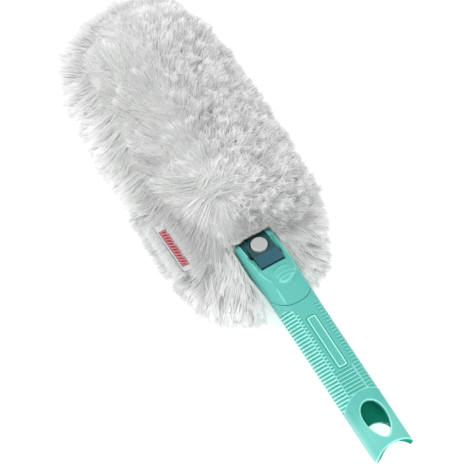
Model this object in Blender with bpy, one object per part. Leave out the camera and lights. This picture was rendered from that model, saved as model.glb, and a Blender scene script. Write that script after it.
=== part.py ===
"""Tilting long-pile duster: a ribbed tubular grip, a clip-on joint housing with a
push-button tilt lock, and a flat moulded frame inside a pull-off sleeve with long pile.

Metres, +Z up. The duster lies on its pile, front face and button up, the grip
towards -Y and the head towards +Y. The origin is the middle of the box's base.
All the driving dimensions below are in millimetres.
"""

import math

import bmesh
import bpy
from mathutils import Matrix, Vector

MM = 0.001

# ---------------------------------------------------------------- dimensions
HINGE_Y = -29.2          # the tilt axis runs along X through this point
HINGE_Z = 32.0
FORK_SLOPE = -7.5        # the fork dips towards the head
GRIP_SLOPE = 6.5         # the grip runs down from the joint to its end
BEND_START = 16.0        # the housing bends between these distances from the axis
BEND_END = 46.0
GAP = 0.30               # gap between pieces that touch

# grip tube (measured from the tilt axis along the handle)
GRIP_W = 16.5            # half width
GRIP_H = 11.2            # half height
GRIP_END = -198.5        # open end
GRIP_WALL = 2.4
SPIGOT_END = -29.0       # inner end of the spigot inside the housing
SPIGOT_W = 14.0
SPIGOT_H = 8.7
SPIGOT_WALL = 1.9
HOLE_TOP = -155.0        # egg-shaped hang hole in the front wall
HOLE_BOTTOM = -186.5
HOLE_W = 9.2
BACK_CUT_TOP = -168.0    # U cut in the back wall of the open end
BACK_CUT_W = 11.6
END_SCOOP = 4.0          # depth of the scoop in the end's front edge
LATCH_Y = -37.0

# joint housing
EAR_R = 13.2             # round fork ears about the tilt axis
EAR_W = 17.3             # half width over the ears
FORK_GAP = 10.9          # half width between the ears
SEAT_R = 12.9            # round seat behind the hub
PLATE_RECESS_END = -24.0
PLATE_RECESS_FLOOR = 8.9
SEAM_SIDE = -45.6        # seam to the grip at the sides and back
SEAM_TONGUE = 14.2       # the front tongue reaches this much further
HOUSING_BORE_END = -27.5
HOUSING_BORE_W = 14.3
HOUSING_BORE_H = 9.0

# hub, button and lock
HUB_R = 12.4
HUB_W = 10.6
PLATE_END = -23.4
PLATE_THICK = 3.2
PIN_R = 1.5
PIN_HALF = 14.9
BUTTON_Y = -3.6          # the button sits a little towards the grip
BUTTON_R = 6.7
BUTTON_TOP = 14.1
BUTTON_THICK = 3.6
BUTTON_STEM_R = 2.0
BUTTON_BORE_R = 7.05
BUTTON_FLOOR = 5.7
KEY_Y = -2.2
KEY_HALF = 10.75
KEY_W = 3.2
KEY_TOP = 7.9
KEY_THICK = 2.3
KEY_SLOT_FLOOR = 2.3
DETENT_R = 10.2          # lock rings: outside, notches and teeth
DETENT_NOTCH_R = 9.0
DETENT_TOOTH_R = 6.9

# head frame
STEM_W = 7.0
STEM_START = 5.0
FRAME_T = 4.4
FRAME_W = 41.0           # half width of the oval
FRAME_NEAR = 31.0
FRAME_FAR = 226.0
FRAME_BAR = 5.0

# sleeve
CLOTH_T = 1.2
CLOTH_Z = 3.6
COVER_W = 50.0
COVER_NEAR = 17.0
COVER_FAR = 237.0
BINDING_W = 3.0

# pile
FRONT_W = 60.0
FRONT_NEAR = 15.0
FRONT_FAR = 248.0
FRONT_TOP = 37.0
PILE_INNER = 5.3         # both pile bodies start this far from the frame's mid plane
BACK_W = 73.0
BACK_NEAR = -44.0
BACK_FAR = 256.0
NOTCH_W = 19.8           # channel behind the joint that the handle swings into
NOTCH_END = 15.5

# label in the left side seam
LABEL_Y0, LABEL_Y1 = 11.0, 58.0
LABEL_OUT = 60.0


# ------------------------------------------------------------------- helpers
def wipe():
    for ob in list(bpy.data.objects):
        bpy.data.objects.remove(ob, do_unlink=True)


def material(name, color, rough=0.5, metal=0.0):
    mat = bpy.data.materials.new(name)
    mat.use_nodes = True
    bsdf = mat.node_tree.nodes["Principled BSDF"]
    bsdf.inputs["Base Color"].default_value = (*color, 1.0)
    bsdf.inputs["Roughness"].default_value = rough
    bsdf.inputs["Metallic"].default_value = metal
    mat.diffuse_color = (*color, 1.0)
    return mat


def empty(name, location, parent=None, tilt=0.0):
    ob = bpy.data.objects.new(name, None)
    bpy.context.collection.objects.link(ob)
    ob.parent = parent
    ob.location = Vector(location) * MM
    ob.rotation_euler = (math.radians(tilt), 0.0, 0.0)
    return ob


def add_object(name, bm, parent, mat=None, smooth=True, cutter=False):
    bmesh.ops.remove_doubles(bm, verts=bm.verts, dist=1e-4)
    bmesh.ops.recalc_face_normals(bm, faces=bm.faces)
    if bm.calc_volume(signed=True) < 0:
        bmesh.ops.reverse_faces(bm, faces=bm.faces)
    bmesh.ops.scale(bm, vec=(MM, MM, MM), verts=bm.verts)
    mesh = bpy.data.meshes.new(name)
    bm.to_mesh(mesh)
    bm.free()
    ob = bpy.data.objects.new(name, mesh)
    bpy.context.collection.objects.link(ob)
    ob.parent = parent
    if mat:
        mesh.materials.append(mat)
    if smooth:
        mesh.shade_smooth()
        mesh.set_sharp_from_angle(angle=math.radians(38))
    if cutter:
        ob.hide_render = True
        ob.display_type = "WIRE"
    return ob


def cut(ob, tool, operation="DIFFERENCE"):
    mod = ob.modifiers.new(tool.name, "BOOLEAN")
    mod.operation = operation
    mod.solver = "EXACT"
    mod.object = tool


def bm_rings(rings, cap_start=True, cap_end=True, closed=False):
    """Skin through rings of equal length; closed joins the last ring to the first."""
    bm = bmesh.new()
    vs = [[bm.verts.new(p) for p in ring] for ring in rings]
    n = len(vs[0])
    pairs = list(zip(vs[:-1], vs[1:]))
    if closed:
        pairs.append((vs[-1], vs[0]))
    for a, b in pairs:
        for i in range(n):
            bm.faces.new((a[i], a[(i + 1) % n], b[(i + 1) % n], b[i]))
    if cap_start and not closed:
        bm.faces.new(list(reversed(vs[0])))
    if cap_end and not closed:
        bm.faces.new(vs[-1])
    return bm


def bm_box(x0, x1, y0, y1, z0, z1):
    ring = lambda z: [(x0, y0, z), (x1, y0, z), (x1, y1, z), (x0, y1, z)]
    return bm_rings([ring(z0), ring(z1)])


def bm_prism(points, lo, hi, axis="Z"):
    """Extrude a 2D outline along an axis. For X the outline is (y, z), for Z it is (x, y)."""
    place = {
        "X": lambda p, h: (h, p[0], p[1]),
        "Y": lambda p, h: (p[0], h, p[1]),
        "Z": lambda p, h: (p[0], p[1], h),
    }[axis]
    return bm_rings([[place(p, lo) for p in points], [place(p, hi) for p in points]])


def bm_turned(profile, n=32, axis="Z", centre=(0, 0)):
    """Turned solid from (radius, height) pairs, closed by flat ends."""
    rings = []
    for r, h in profile:
        ring = []
        for i in range(n):
            a = 2 * math.pi * (i + 0.37) / n
            c, s = r * math.cos(a), r * math.sin(a)
            if axis == "Z":
                ring.append((centre[0] + c, centre[1] + s, h))
            else:
                ring.append((h, centre[0] + c, centre[1] + s))
        rings.append(ring)
    return bm_rings(rings)


def section(w, hf, hb, n=48, p=2.6):
    """Superellipse section of the handle: flattish front, rounded flanks."""
    pts = []
    for i in range(n):
        a = 2 * math.pi * (i + 0.5) / n
        c, s = math.cos(a), math.sin(a)
        x = w * math.copysign(abs(c) ** (2 / p), c)
        h = hf if s > 0 else hb
        pts.append((x, h * math.copysign(abs(s) ** (2 / p), s)))
    return pts


def lerp(a, b, t):
    return a + (b - a) * t


def smooth_table(table, y):
    """Piecewise cosine blend through (y, value) pairs in falling y."""
    if y >= table[0][0]:
        return table[0][1]
    for (y0, v0), (y1, v1) in zip(table[:-1], table[1:]):
        if y >= y1:
            t = (y0 - y) / (y0 - y1)
            return lerp(v0, v1, (1 - math.cos(math.pi * t)) / 2)
    return table[-1][1]


def seam_y(x, z, w=GRIP_W):
    """Seam between housing and grip: straight round the back, a U tongue on the front."""
    if z <= 0:
        return SEAM_SIDE
    u = max(0.0, 1.0 - abs(x / w) ** 2.4) ** (1 / 2.4)
    return SEAM_SIDE - SEAM_TONGUE * u


# ------------------------------------------------------------ handle pieces
def bent(x, y, z):
    """Move a point of the straight handle onto the housing's bent centre line."""
    if y > -BEND_START:
        return (x, y, z)
    total = math.radians(GRIP_SLOPE - FORK_SLOPE)
    r = (BEND_END - BEND_START) / total
    a = min((-y - BEND_START) / r, total)
    out_y = -BEND_START - (r + z) * math.sin(a)
    out_z = -r + (r + z) * math.cos(a)
    rest = max(0.0, -y - BEND_END)
    return (x, out_y - rest * math.cos(a), out_z - rest * math.sin(a))


def on_grip_line(x, y, z):
    """The same on the grip's straight line, however near the axis the point is."""
    total = math.radians(GRIP_SLOPE - FORK_SLOPE)
    r = (BEND_END - BEND_START) / total
    out_y = -BEND_START - (r + z) * math.sin(total)
    out_z = -r + (r + z) * math.cos(total)
    rest = -y - BEND_END
    return (x, out_y - rest * math.cos(total), out_z - rest * math.sin(total))


def joint_housing(parent, mat):
    widths = [(2.0, EAR_W), (-14.0, EAR_W), (-46.0, GRIP_W), (-80.0, GRIP_W)]
    fronts = [(0.0, EAR_R), (-30.0, 12.9), (-50.0, GRIP_H), (-80.0, GRIP_H)]
    backs = [(0.0, EAR_R), (-24.0, 12.2), (-46.0, GRIP_H), (-80.0, GRIP_H)]
    rings = []
    for deg in (82, 68, 52, 36, 20, 8):
        y = EAR_R * math.sin(math.radians(deg))
        h = EAR_R * math.cos(math.radians(deg))
        w = EAR_W - 3.4 * math.sin(math.radians(deg)) ** 3
        rings.append([(x, y, z) for x, z in section(w, h, h, p=3.4)])
    steps = 12
    for k in range(steps + 1):
        t = k / steps
        ring = []
        for i, (cx, cz) in enumerate(section(1, 1, 1)):
            y_end = seam_y(cx * GRIP_W, cz) + GAP / 2
            y = lerp(-1.0, y_end, t)
            w = smooth_table(widths, y)
            h = smooth_table(fronts, y) if cz > 0 else smooth_table(backs, y)
            p = lerp(3.4, 2.6, min(1.0, t * 1.5))
            sx, sz = section(w, h, h, p=p)[i]
            ring.append(bent(sx, y, sz))
        rings.append(ring)
    bore = section(HOUSING_BORE_W, HOUSING_BORE_H, HOUSING_BORE_H)
    ends = [seam_y(cx * GRIP_W, cz) + GAP / 2 for cx, cz in section(1, 1, 1)]
    rings.append([on_grip_line(x, ends[i], z) for i, (x, z) in enumerate(bore)])
    rings.append([on_grip_line(x, HOUSING_BORE_END, z) for x, z in bore])
    ob = add_object("joint_housing", bm_rings(rings), parent, mat)

    # the space between the ears: plate recess, round seat behind the hub, open back
    room = [(PLATE_RECESS_END, 40.0), (PLATE_RECESS_END, PLATE_RECESS_FLOOR),
            (-SEAT_R, PLATE_RECESS_FLOOR)]
    a1 = math.pi + math.asin(9.2 / SEAT_R)
    for i in range(11):
        a = lerp(math.pi, a1, i / 10)
        room.append((SEAT_R * math.cos(a), SEAT_R * math.sin(a)))
    room += [(room[-1][0], -30.0), (30.0, -30.0), (30.0, 40.0)]
    gap = add_object("fork_gap", bm_prism(room, -FORK_GAP, FORK_GAP, "X"), parent, cutter=True,
                     smooth=False)
    pin_bore = add_object(
        "pin_bore", bm_turned([(PIN_R + 0.06, -25), (PIN_R + 0.06, 25)], n=24, axis="X"),
        parent, cutter=True, smooth=False)
    cut(ob, gap)
    cut(ob, pin_bore)
    for side in (-1, 1):
        pocket = add_object(
            "detent_pocket_%d" % (side + 1),
            bm_turned([(DETENT_R + 0.3, side * 10.0), (DETENT_R + 0.3, side * 12.35)],
                      n=40, axis="X"),
            parent, cutter=True, smooth=False)
        cut(ob, pocket)
    return ob


def grip_tube(parent, mat):
    steps = 10
    outer = section(GRIP_W, GRIP_H, GRIP_H)
    inner = section(GRIP_W - GRIP_WALL, GRIP_H - GRIP_WALL, GRIP_H - GRIP_WALL)
    spig = section(SPIGOT_W, SPIGOT_H, SPIGOT_H)
    spin = section(SPIGOT_W - SPIGOT_WALL, SPIGOT_H - SPIGOT_WALL, SPIGOT_H - SPIGOT_WALL)

    def end_y(x, z):
        scoop = END_SCOOP * max(0.0, 1 - (x / GRIP_W) ** 2) if z > 0 else 0.0
        return GRIP_END + scoop

    rings = []
    for k in range(steps + 1):
        t = k / steps
        ring = []
        for x, z in outer:
            a = end_y(x, z)
            b = seam_y(x, z) - GAP / 2
            ring.append((x, lerp(a, b, t), z))
        rings.append(ring)
    rings.append([(x, rings[-1][i][1], z) for i, (x, z) in enumerate(spig)])
    rings.append([(x, SPIGOT_END - 1.5, z) for x, z in spig])
    rings.append([(x * 0.97, SPIGOT_END, z * 0.95) for x, z in spig])
    rings.append([(x, SPIGOT_END, z) for x, z in spin])
    rings.append([(x, -74.0, z) for x, z in spin])
    rings.append([(x, -80.0, z) for x, z in inner])
    rings.append([(x, -140.0, z) for x, z in inner])
    rings.append([(x, end_y(outer[i][0], z), z) for i, (x, z) in enumerate(inner)])
    ob = add_object("grip_tube", bm_rings(rings, closed=True), parent, mat)

    # egg-shaped hang hole, wider towards the joint
    pts = []
    mid = (HOLE_TOP + HOLE_BOTTOM) / 2
    half = (HOLE_TOP - HOLE_BOTTOM) / 2
    for i in range(36):
        a = 2 * math.pi * i / 36
        s = math.sin(a)
        w = HOLE_W * (1 + 0.16 * s)
        pts.append((w * math.cos(a), mid + half * s))
    hole = add_object("hang_hole", bm_prism(pts, 2.0, 30.0), parent, cutter=True, smooth=False)
    cut(ob, hole)
    # U cut in the back wall of the open end
    pts = [(BACK_CUT_W, -230.0), (BACK_CUT_W, BACK_CUT_TOP - BACK_CUT_W)]
    for i in range(1, 16):
        a = math.pi * i / 16
        pts.append((BACK_CUT_W * math.cos(a), BACK_CUT_TOP - BACK_CUT_W + BACK_CUT_W * math.sin(a)))
    pts += [(-BACK_CUT_W, BACK_CUT_TOP - BACK_CUT_W), (-BACK_CUT_W, -230.0)]
    scoop = add_object("back_cut", bm_prism(pts, -30.0, -2.0), parent, cutter=True, smooth=False)
    cut(ob, scoop)
    # bore for the latch stud in the spigot's front wall
    bore = add_object("latch_bore", bm_turned([(3.5, 4.0), (3.5, 9.4)], n=24,
                                              centre=(0, LATCH_Y)), parent, cutter=True, smooth=False)
    cut(ob, bore)
    return ob


def detent_ring(name, side, parent, mat):
    """Toothed lock ring let into the inner face of a fork ear."""
    notches = 8
    inner, outer = [], []
    for i in range(notches * 8):
        a = 2 * math.pi * (i + 1.3) / (notches * 8)
        r = DETENT_NOTCH_R if i % 8 < 4 else DETENT_TOOTH_R
        inner.append((r * math.cos(a), r * math.sin(a)))
        outer.append((DETENT_R * math.cos(a), DETENT_R * math.sin(a)))
    lo, hi = sorted((side * 11.05, side * 12.05))
    ring = lambda pts, x: [(x, y, z) for y, z in pts]
    bm = bm_rings([ring(outer, lo), ring(outer, hi), ring(inner, hi), ring(inner, lo)], closed=True)
    return add_object(name, bm, parent, mat)


# --------------------------------------------------------------- hub pieces
def hub_outline(front):
    pts = []
    if front:
        for i in range(13):
            a = math.radians(90 * i / 12)
            pts.append((HUB_R * math.cos(a), max(0.15, HUB_R * math.sin(a))))
        pts.append((PLATE_END, HUB_R))
        pts.append((PLATE_END, HUB_R - PLATE_THICK))
        pts.append((-HUB_R, HUB_R - PLATE_THICK))
        pts.append((-HUB_R, 0.15))
    else:
        for i in range(25):
            a = math.radians(180 + 180 * i / 24)
            pts.append((HUB_R * math.cos(a), min(-0.15, HUB_R * math.sin(a))))
    return pts


def hub(parent, head, frame, mat):
    front = add_object("hub_front", bm_prism(hub_outline(True), -HUB_W, HUB_W, "X"), parent, mat)
    back = add_object("hub_back", bm_prism(hub_outline(False), -HUB_W, HUB_W, "X"), parent, mat)
    bore = add_object("hub_pin_bore",
                      bm_turned([(PIN_R + 0.06, -20), (PIN_R + 0.06, 20)], n=24, axis="X"),
                      parent, cutter=True, smooth=False)
    socket = add_object("stem_socket",
                        bm_box(-STEM_W - GAP, STEM_W + GAP, STEM_START - GAP, 20,
                               -FRAME_T / 2 - GAP, FRAME_T / 2 + GAP), head, cutter=True)
    well = add_object("button_well",
                      bm_turned([(BUTTON_BORE_R, BUTTON_FLOOR), (BUTTON_BORE_R, 20)], n=40,
                                centre=(0, BUTTON_Y)), parent, cutter=True, smooth=False)
    slot = add_object("key_slot",
                      bm_box(-15, 15, KEY_Y - KEY_W / 2 - GAP, KEY_Y + KEY_W / 2 + GAP,
                             KEY_SLOT_FLOOR, KEY_TOP + 0.25), parent, cutter=True)
    for ob in (front, back):
        cut(ob, bore)
        cut(ob, socket)
    cut(front, well)
    cut(front, slot)
    for side in (-1, 1):
        screw_bore = add_object("screw_bore_%d" % (side + 1),
                                bm_turned([(1.5, -20), (1.5, 5.4)], n=16, centre=(side * 4.3, 8.7)),
                                parent, cutter=True, smooth=False)
        cut(front, screw_bore)
        cut(back, screw_bore)
        cut(frame, screw_bore)
    return front, back


def hub_screws(parent, mat):
    """Two self-tapping screws that close the hub from behind."""
    for side, label in ((-1, "left"), (1, "right")):
        add_object("hub_screw_" + label,
                   bm_turned([(1.2, -7.2), (1.2, 5.0)], n=14, centre=(side * 4.3, 8.7)),
                   parent, mat)


def button_spring(parent, mat):
    """Bowed leaf under the lock key."""
    top, bottom = [], []
    n = 12
    for i in range(n + 1):
        t = -1 + 2 * i / n
        x = 6.0 * t
        z = KEY_SLOT_FLOOR + GAP + 2.05 * max(0.0, math.cos(t * math.pi / 2)) ** 1.4
        top.append((x, z + 0.35))
        bottom.append((x, z))
    return add_object("button_spring", bm_prism(bottom + list(reversed(top)),
                                                KEY_Y - 1.4, KEY_Y + 1.4, "Y"), parent, mat)


# -------------------------------------------------------------- head pieces
def stadium(w, near, far, n=14, p=2.3):
    """Closed oval outline: elliptical ends, straight sides, starting at the near end."""
    pts = []
    cn, cf = near + w * 0.95, far - w * 0.95
    for i in range(n * 2 + 1):
        a = math.pi + math.pi * i / (2 * n)
        pts.append((w * math.cos(a), cn + (cn - near) * math.sin(a)))
    for i in range(n * 2 + 1):
        a = math.pi * i / (2 * n)
        pts.append((w * math.cos(a), cf + (far - cf) * math.sin(a)))
    return pts


def head_frame(parent, mat):
    """Flat moulded frame: stem, oval hoop, spine and cross battens in one piece."""
    h = FRAME_T / 2
    out = stadium(FRAME_W, FRAME_NEAR, FRAME_FAR)
    inn = stadium(FRAME_W - FRAME_BAR, FRAME_NEAR + FRAME_BAR, FRAME_FAR - FRAME_BAR)
    ring = lambda pts, z: [(x, y, z) for x, y in pts]
    bm = bm_rings([ring(out, -h), ring(out, h), ring(inn, h), ring(inn, -h)], closed=True)
    ob = add_object("head_frame", bm, parent, mat)
    # the spine and battens keep other heights than the hoop, so no faces lie in one plane
    right = [(STEM_W, STEM_START), (STEM_W, 26), (9.5, 33), (5.0, 48), (3.4, 72),
             (3.0, FRAME_FAR - 2)]
    spine = right + [(-x, y) for x, y in reversed(right)]
    tool = add_object("spine", bm_prism(spine, -h + 0.15, h - 0.15), parent, cutter=True)
    cut(ob, tool, "UNION")
    for k, y in enumerate((66.0, 104.0, 142.0, 180.0)):
        tool = add_object("batten_%d" % k,
                          bm_box(-FRAME_W + 2, FRAME_W - 2, y - 2, y + 2, -h + 0.4, h - 0.4),
                          parent, cutter=True)
        cut(ob, tool, "UNION")
    return ob


def cloth_plate(name, z0, z1, parent, mat):
    return add_object(name, bm_prism(stadium(COVER_W, COVER_NEAR, COVER_FAR), z0, z1), parent, mat)


def edge_binding(parent, mat):
    """Side and end seam that joins the two cloths; the near end is the open mouth."""
    outer, inner = [], []
    straight = COVER_NEAR + 10.0
    far_c = COVER_FAR - COVER_W * 0.95
    outer.append((COVER_W - 0.3, straight))
    inner.append((COVER_W - BINDING_W, straight))
    for i in range(29):
        a = math.pi * i / 28
        outer.append(((COVER_W - 0.3) * math.cos(a), far_c + (COVER_FAR - 0.3 - far_c) * math.sin(a)))
        inner.append(((COVER_W - BINDING_W) * math.cos(a),
                      far_c + (COVER_FAR - BINDING_W - far_c) * math.sin(a)))
    outer.append((-COVER_W + 0.3, straight))
    inner.append((-COVER_W + BINDING_W, straight))
    pts = outer + list(reversed(inner))
    z = CLOTH_Z - GAP
    return add_object("edge_binding", bm_prism(pts, -z, z), parent, mat)


def mouth_hems(parent, mat):
    """Turned hems of the two cloths along the sleeve's open mouth."""
    z0, z1 = CLOTH_Z - GAP - 0.8, CLOTH_Z - GAP
    add_object("front_hem", bm_box(-42.0, 42.0, 20.5, 27.5, z0, z1), parent, mat)
    add_object("back_hem", bm_box(-42.0, 42.0, 20.5, 27.5, -z1, -z0), parent, mat)


def half_outline(w, near, far, near_len, far_len, n=18, p_near=2.3, p_far=2.3, x_in=0.0):
    """Right half of a pile outline, from (x_in, near edge) round to (x_in, far edge)."""
    pts = []
    cn, cf = near + near_len, far - far_len
    a_in = math.acos(min(1.0, (x_in / w)) ** (p_near / 2)) if x_in else math.pi / 2
    for i in range(n + 1):
        a = a_in * (1 - i / n)
        pts.append((w * math.cos(a) ** (2 / p_near), cn - near_len * math.sin(a) ** (2 / p_near)))
    for i in range(1, 5):
        pts.append((w, lerp(cn, cf, i / 5)))
    for i in range(n + 1):
        a = math.pi / 2 * i / n
        c = max(0.0, math.cos(a))
        pts.append((w * c ** (2 / p_far), cf + far_len * math.sin(a) ** (2 / p_far)))
    return pts


def pile_back(parent, mat):
    """Back pile: a flat-lying body with a channel behind the joint."""
    base = half_outline(BACK_W, BACK_NEAR, BACK_FAR, 74.0, 66.0, x_in=NOTCH_W)
    full = [(NOTCH_W, NOTCH_END)] + base
    full += [(-x, y) for x, y in reversed(base[:-1])] + [(-NOTCH_W, NOTCH_END)]
    yc = 106.0
    rings = []
    for z, s in ((-HINGE_Z, 0.94), (3.0 - HINGE_Z, 0.975), (-20.0, 1.0), (-12.0, 0.985),
                 (-PILE_INNER, 0.93)):
        ring = []
        for x, y in full:
            if y == NOTCH_END and abs(x) == NOTCH_W:
                ring.append((x, y, z))
                continue
            sx = max(abs(x) * s, NOTCH_W) if y < NOTCH_END else abs(x) * s
            ring.append((math.copysign(sx, x), yc + (y - yc) * s, z))
        rings.append(ring)
    return add_object("pile_back", bm_rings(rings), parent, mat)


def pile_front(parent, mat):
    base = half_outline(FRONT_W, FRONT_NEAR, FRONT_FAR, 62.0, 60.0, n=14)
    full = base + [(-x, y) for x, y in reversed(base[1:-1])]
    yc = (FRONT_NEAR + FRONT_FAR) / 2
    rise = FRONT_TOP - PILE_INNER
    rings = []
    for t, s in ((0.0, 0.95), (0.25, 1.0), (0.55, 0.97), (0.78, 0.88), (0.92, 0.74), (1.0, 0.5)):
        rings.append([(x * s, yc + (y - yc) * s, PILE_INNER + rise * t) for x, y in full])
    return add_object("pile_front", bm_rings(rings), parent, mat)


# -------------------------------------------------------------------- build
def main():
    wipe()
    teal = material("teal_plastic", (0.12, 0.55, 0.47), 0.35)
    dark = material("dark_teal_plastic", (0.02, 0.10, 0.11), 0.4)
    grey = material("button_grey", (0.55, 0.55, 0.55), 0.45)
    steel = material("steel", (0.6, 0.6, 0.6), 0.3, 1.0)
    acetal = material("acetal", (0.75, 0.75, 0.72), 0.4)
    frame_mat = material("frame_plastic", (0.75, 0.76, 0.77), 0.5)
    cloth = material("backing_cloth", (0.7, 0.7, 0.7), 0.9)
    fluff = material("pile", (0.72, 0.73, 0.74), 0.9)
    label_white = material("label_white", (0.85, 0.85, 0.86), 0.8)
    label_red = material("label_red", (0.6, 0.02, 0.03), 0.8)

    hinge = empty("tilt_axis", (0, HINGE_Y, HINGE_Z))
    fork = empty("fork_line", (0, 0, 0), hinge, FORK_SLOPE)
    hub_line = empty("hub_line", (0, 0, 0), hinge, FORK_SLOPE)
    turn = math.radians(GRIP_SLOPE - FORK_SLOPE)
    back = Vector((0.0, -BEND_END, 0.0))
    start = Vector(bent(*back)) - Matrix.Rotation(turn, 3, "X") @ back
    grip = empty("grip_line", start, fork, GRIP_SLOPE - FORK_SLOPE)
    head = empty("head_line", (0, 0, 0), hinge)
    cover = empty("cover_line", (0, 0, 0), head)

    joint_housing(fork, teal)
    grip_tube(grip, teal)
    detent_ring("detent_ring_left", -1, fork, acetal)
    detent_ring("detent_ring_right", 1, fork, acetal)
    add_object("hinge_pin", bm_turned([(PIN_R, -PIN_HALF), (PIN_R, PIN_HALF)], n=24, axis="X"),
               fork, steel)
    add_object("latch_leaf", bm_box(-4.5, 4.5, -68.0, -32.0, 4.7, 5.7), grip, steel)
    add_object("latch_stud",
               bm_turned([(3.0, 6.0), (3.0, 8.2), (2.5, 8.6)], n=24, centre=(0, LATCH_Y)),
               grip, acetal)

    frame = head_frame(head, frame_mat)
    hub(hub_line, head, frame, dark)
    hub_screws(hub_line, steel)
    add_object("release_button",
               bm_turned([(BUTTON_STEM_R, KEY_TOP + GAP), (BUTTON_STEM_R, BUTTON_TOP - BUTTON_THICK),
                          (BUTTON_R, BUTTON_TOP - BUTTON_THICK), (BUTTON_R, BUTTON_TOP - 0.7),
                          (BUTTON_R - 0.25, BUTTON_TOP - 0.25), (BUTTON_R - 0.8, BUTTON_TOP)],
                         n=40, centre=(0, BUTTON_Y)),
               hub_line, grey)
    add_object("lock_key", bm_box(-KEY_HALF, KEY_HALF, KEY_Y - KEY_W / 2, KEY_Y + KEY_W / 2,
                                  KEY_TOP - KEY_THICK, KEY_TOP), hub_line, acetal)
    button_spring(hub_line, steel)

    cloth_plate("cover_front_cloth", CLOTH_Z, CLOTH_Z + CLOTH_T, cover, cloth)
    cloth_plate("cover_back_cloth", -CLOTH_Z - CLOTH_T, -CLOTH_Z, cover, cloth)
    edge_binding(cover, cloth)
    mouth_hems(cover, cloth)
    pile_front(cover, fluff)
    pile_back(cover, fluff)
    add_object("label_tag", bm_box(-LABEL_OUT, -COVER_W - GAP, LABEL_Y0, LABEL_Y1, -0.5, 0.5),
               cover, label_white)
    add_object("label_patch", bm_box(-LABEL_OUT + 0.8, -LABEL_OUT + 6.9, LABEL_Y0 + 4.3,
                                     LABEL_Y1 - 5.4, 0.8, 1.1), cover, label_red)


main()
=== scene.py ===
import math

import bmesh
import bpy
import numpy as np
from mathutils import Matrix, Vector


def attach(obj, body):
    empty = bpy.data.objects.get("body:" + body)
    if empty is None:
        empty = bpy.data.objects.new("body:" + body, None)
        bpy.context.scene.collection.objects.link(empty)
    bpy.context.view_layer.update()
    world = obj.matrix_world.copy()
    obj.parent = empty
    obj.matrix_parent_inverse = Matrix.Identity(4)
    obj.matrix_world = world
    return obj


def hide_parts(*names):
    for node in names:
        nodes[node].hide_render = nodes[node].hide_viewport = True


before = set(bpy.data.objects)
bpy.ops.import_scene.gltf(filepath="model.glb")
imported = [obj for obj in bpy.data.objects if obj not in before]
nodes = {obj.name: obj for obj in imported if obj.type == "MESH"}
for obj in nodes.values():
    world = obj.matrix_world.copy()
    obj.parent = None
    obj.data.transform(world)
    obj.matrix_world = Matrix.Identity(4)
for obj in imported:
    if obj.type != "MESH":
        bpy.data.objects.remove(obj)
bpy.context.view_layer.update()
scene = bpy.context.scene
MM = 0.001

# ------------------------------------------------------------------- frames
# All lengths below are millimetres. HEAD is level with its origin on the tilt
# axis, FORK dips towards the head, and GRIP is the straight line of the grip.
HINGE = np.array([0.0, -29.2, 32.0])
BEND_START, BEND_END = 16.0, 46.0


def rot_x(deg):
    a = math.radians(deg)
    return np.array([[1, 0, 0], [0, math.cos(a), -math.sin(a)], [0, math.sin(a), math.cos(a)]])


BEND = math.radians(14.0)
BEND_R = (BEND_END - BEND_START) / BEND
HEAD_R, FORK_R = np.eye(3), rot_x(-7.5)
START = np.array([0, -BEND_START - BEND_R * math.sin(BEND), -BEND_R + BEND_R * math.cos(BEND)])
START = START - rot_x(14.0) @ np.array([0, -BEND_END, 0])
GRIP_R = FORK_R @ rot_x(14.0)
GRIP_O = FORK_R @ START + HINGE


def to_world(p, which):
    p = np.asarray(p, float)
    if which == "grip":
        return p @ GRIP_R.T + GRIP_O
    if which == "fork":
        return p @ FORK_R.T + HINGE
    if which == "head":
        return p + HINGE
    return p


# ---------------------------------------------------------------- materials
def node_material(name):
    mat = bpy.data.materials.new(name)
    mat.use_nodes = True
    return mat, mat.node_tree.nodes, mat.node_tree.links, mat.node_tree.nodes["Principled BSDF"]


def srgb(r, g, b):
    lin = lambda c: c / 12.92 if c <= 0.04045 else ((c + 0.055) / 1.055) ** 2.4
    return (lin(r / 255), lin(g / 255), lin(b / 255), 1.0)


def add_noise(n, l, coords, scale, detail=3.0, rough=0.55, dist=0.0):
    t = n.new("ShaderNodeTexNoise")
    t.inputs["Scale"].default_value = scale
    t.inputs["Detail"].default_value = detail
    t.inputs["Roughness"].default_value = rough
    t.inputs["Distortion"].default_value = dist
    l.new(coords, t.inputs["Vector"])
    return t


def ramp(n, l, src, stops):
    r = n.new("ShaderNodeValToRGB")
    els = r.color_ramp.elements
    while len(els) < len(stops):
        els.new(0.5)
    for e, (pos, col) in zip(els, stops):
        e.position = pos
        e.color = col
    l.new(src, r.inputs["Fac"])
    return r


def bump(n, l, src, bsdf, strength, distance, chain=None):
    b = n.new("ShaderNodeBump")
    b.inputs["Strength"].default_value = strength
    b.inputs["Distance"].default_value = distance
    l.new(src, b.inputs["Height"])
    if chain is not None:
        l.new(chain.outputs["Normal"], b.inputs["Normal"])
    l.new(b.outputs["Normal"], bsdf.inputs["Normal"])
    return b


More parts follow.
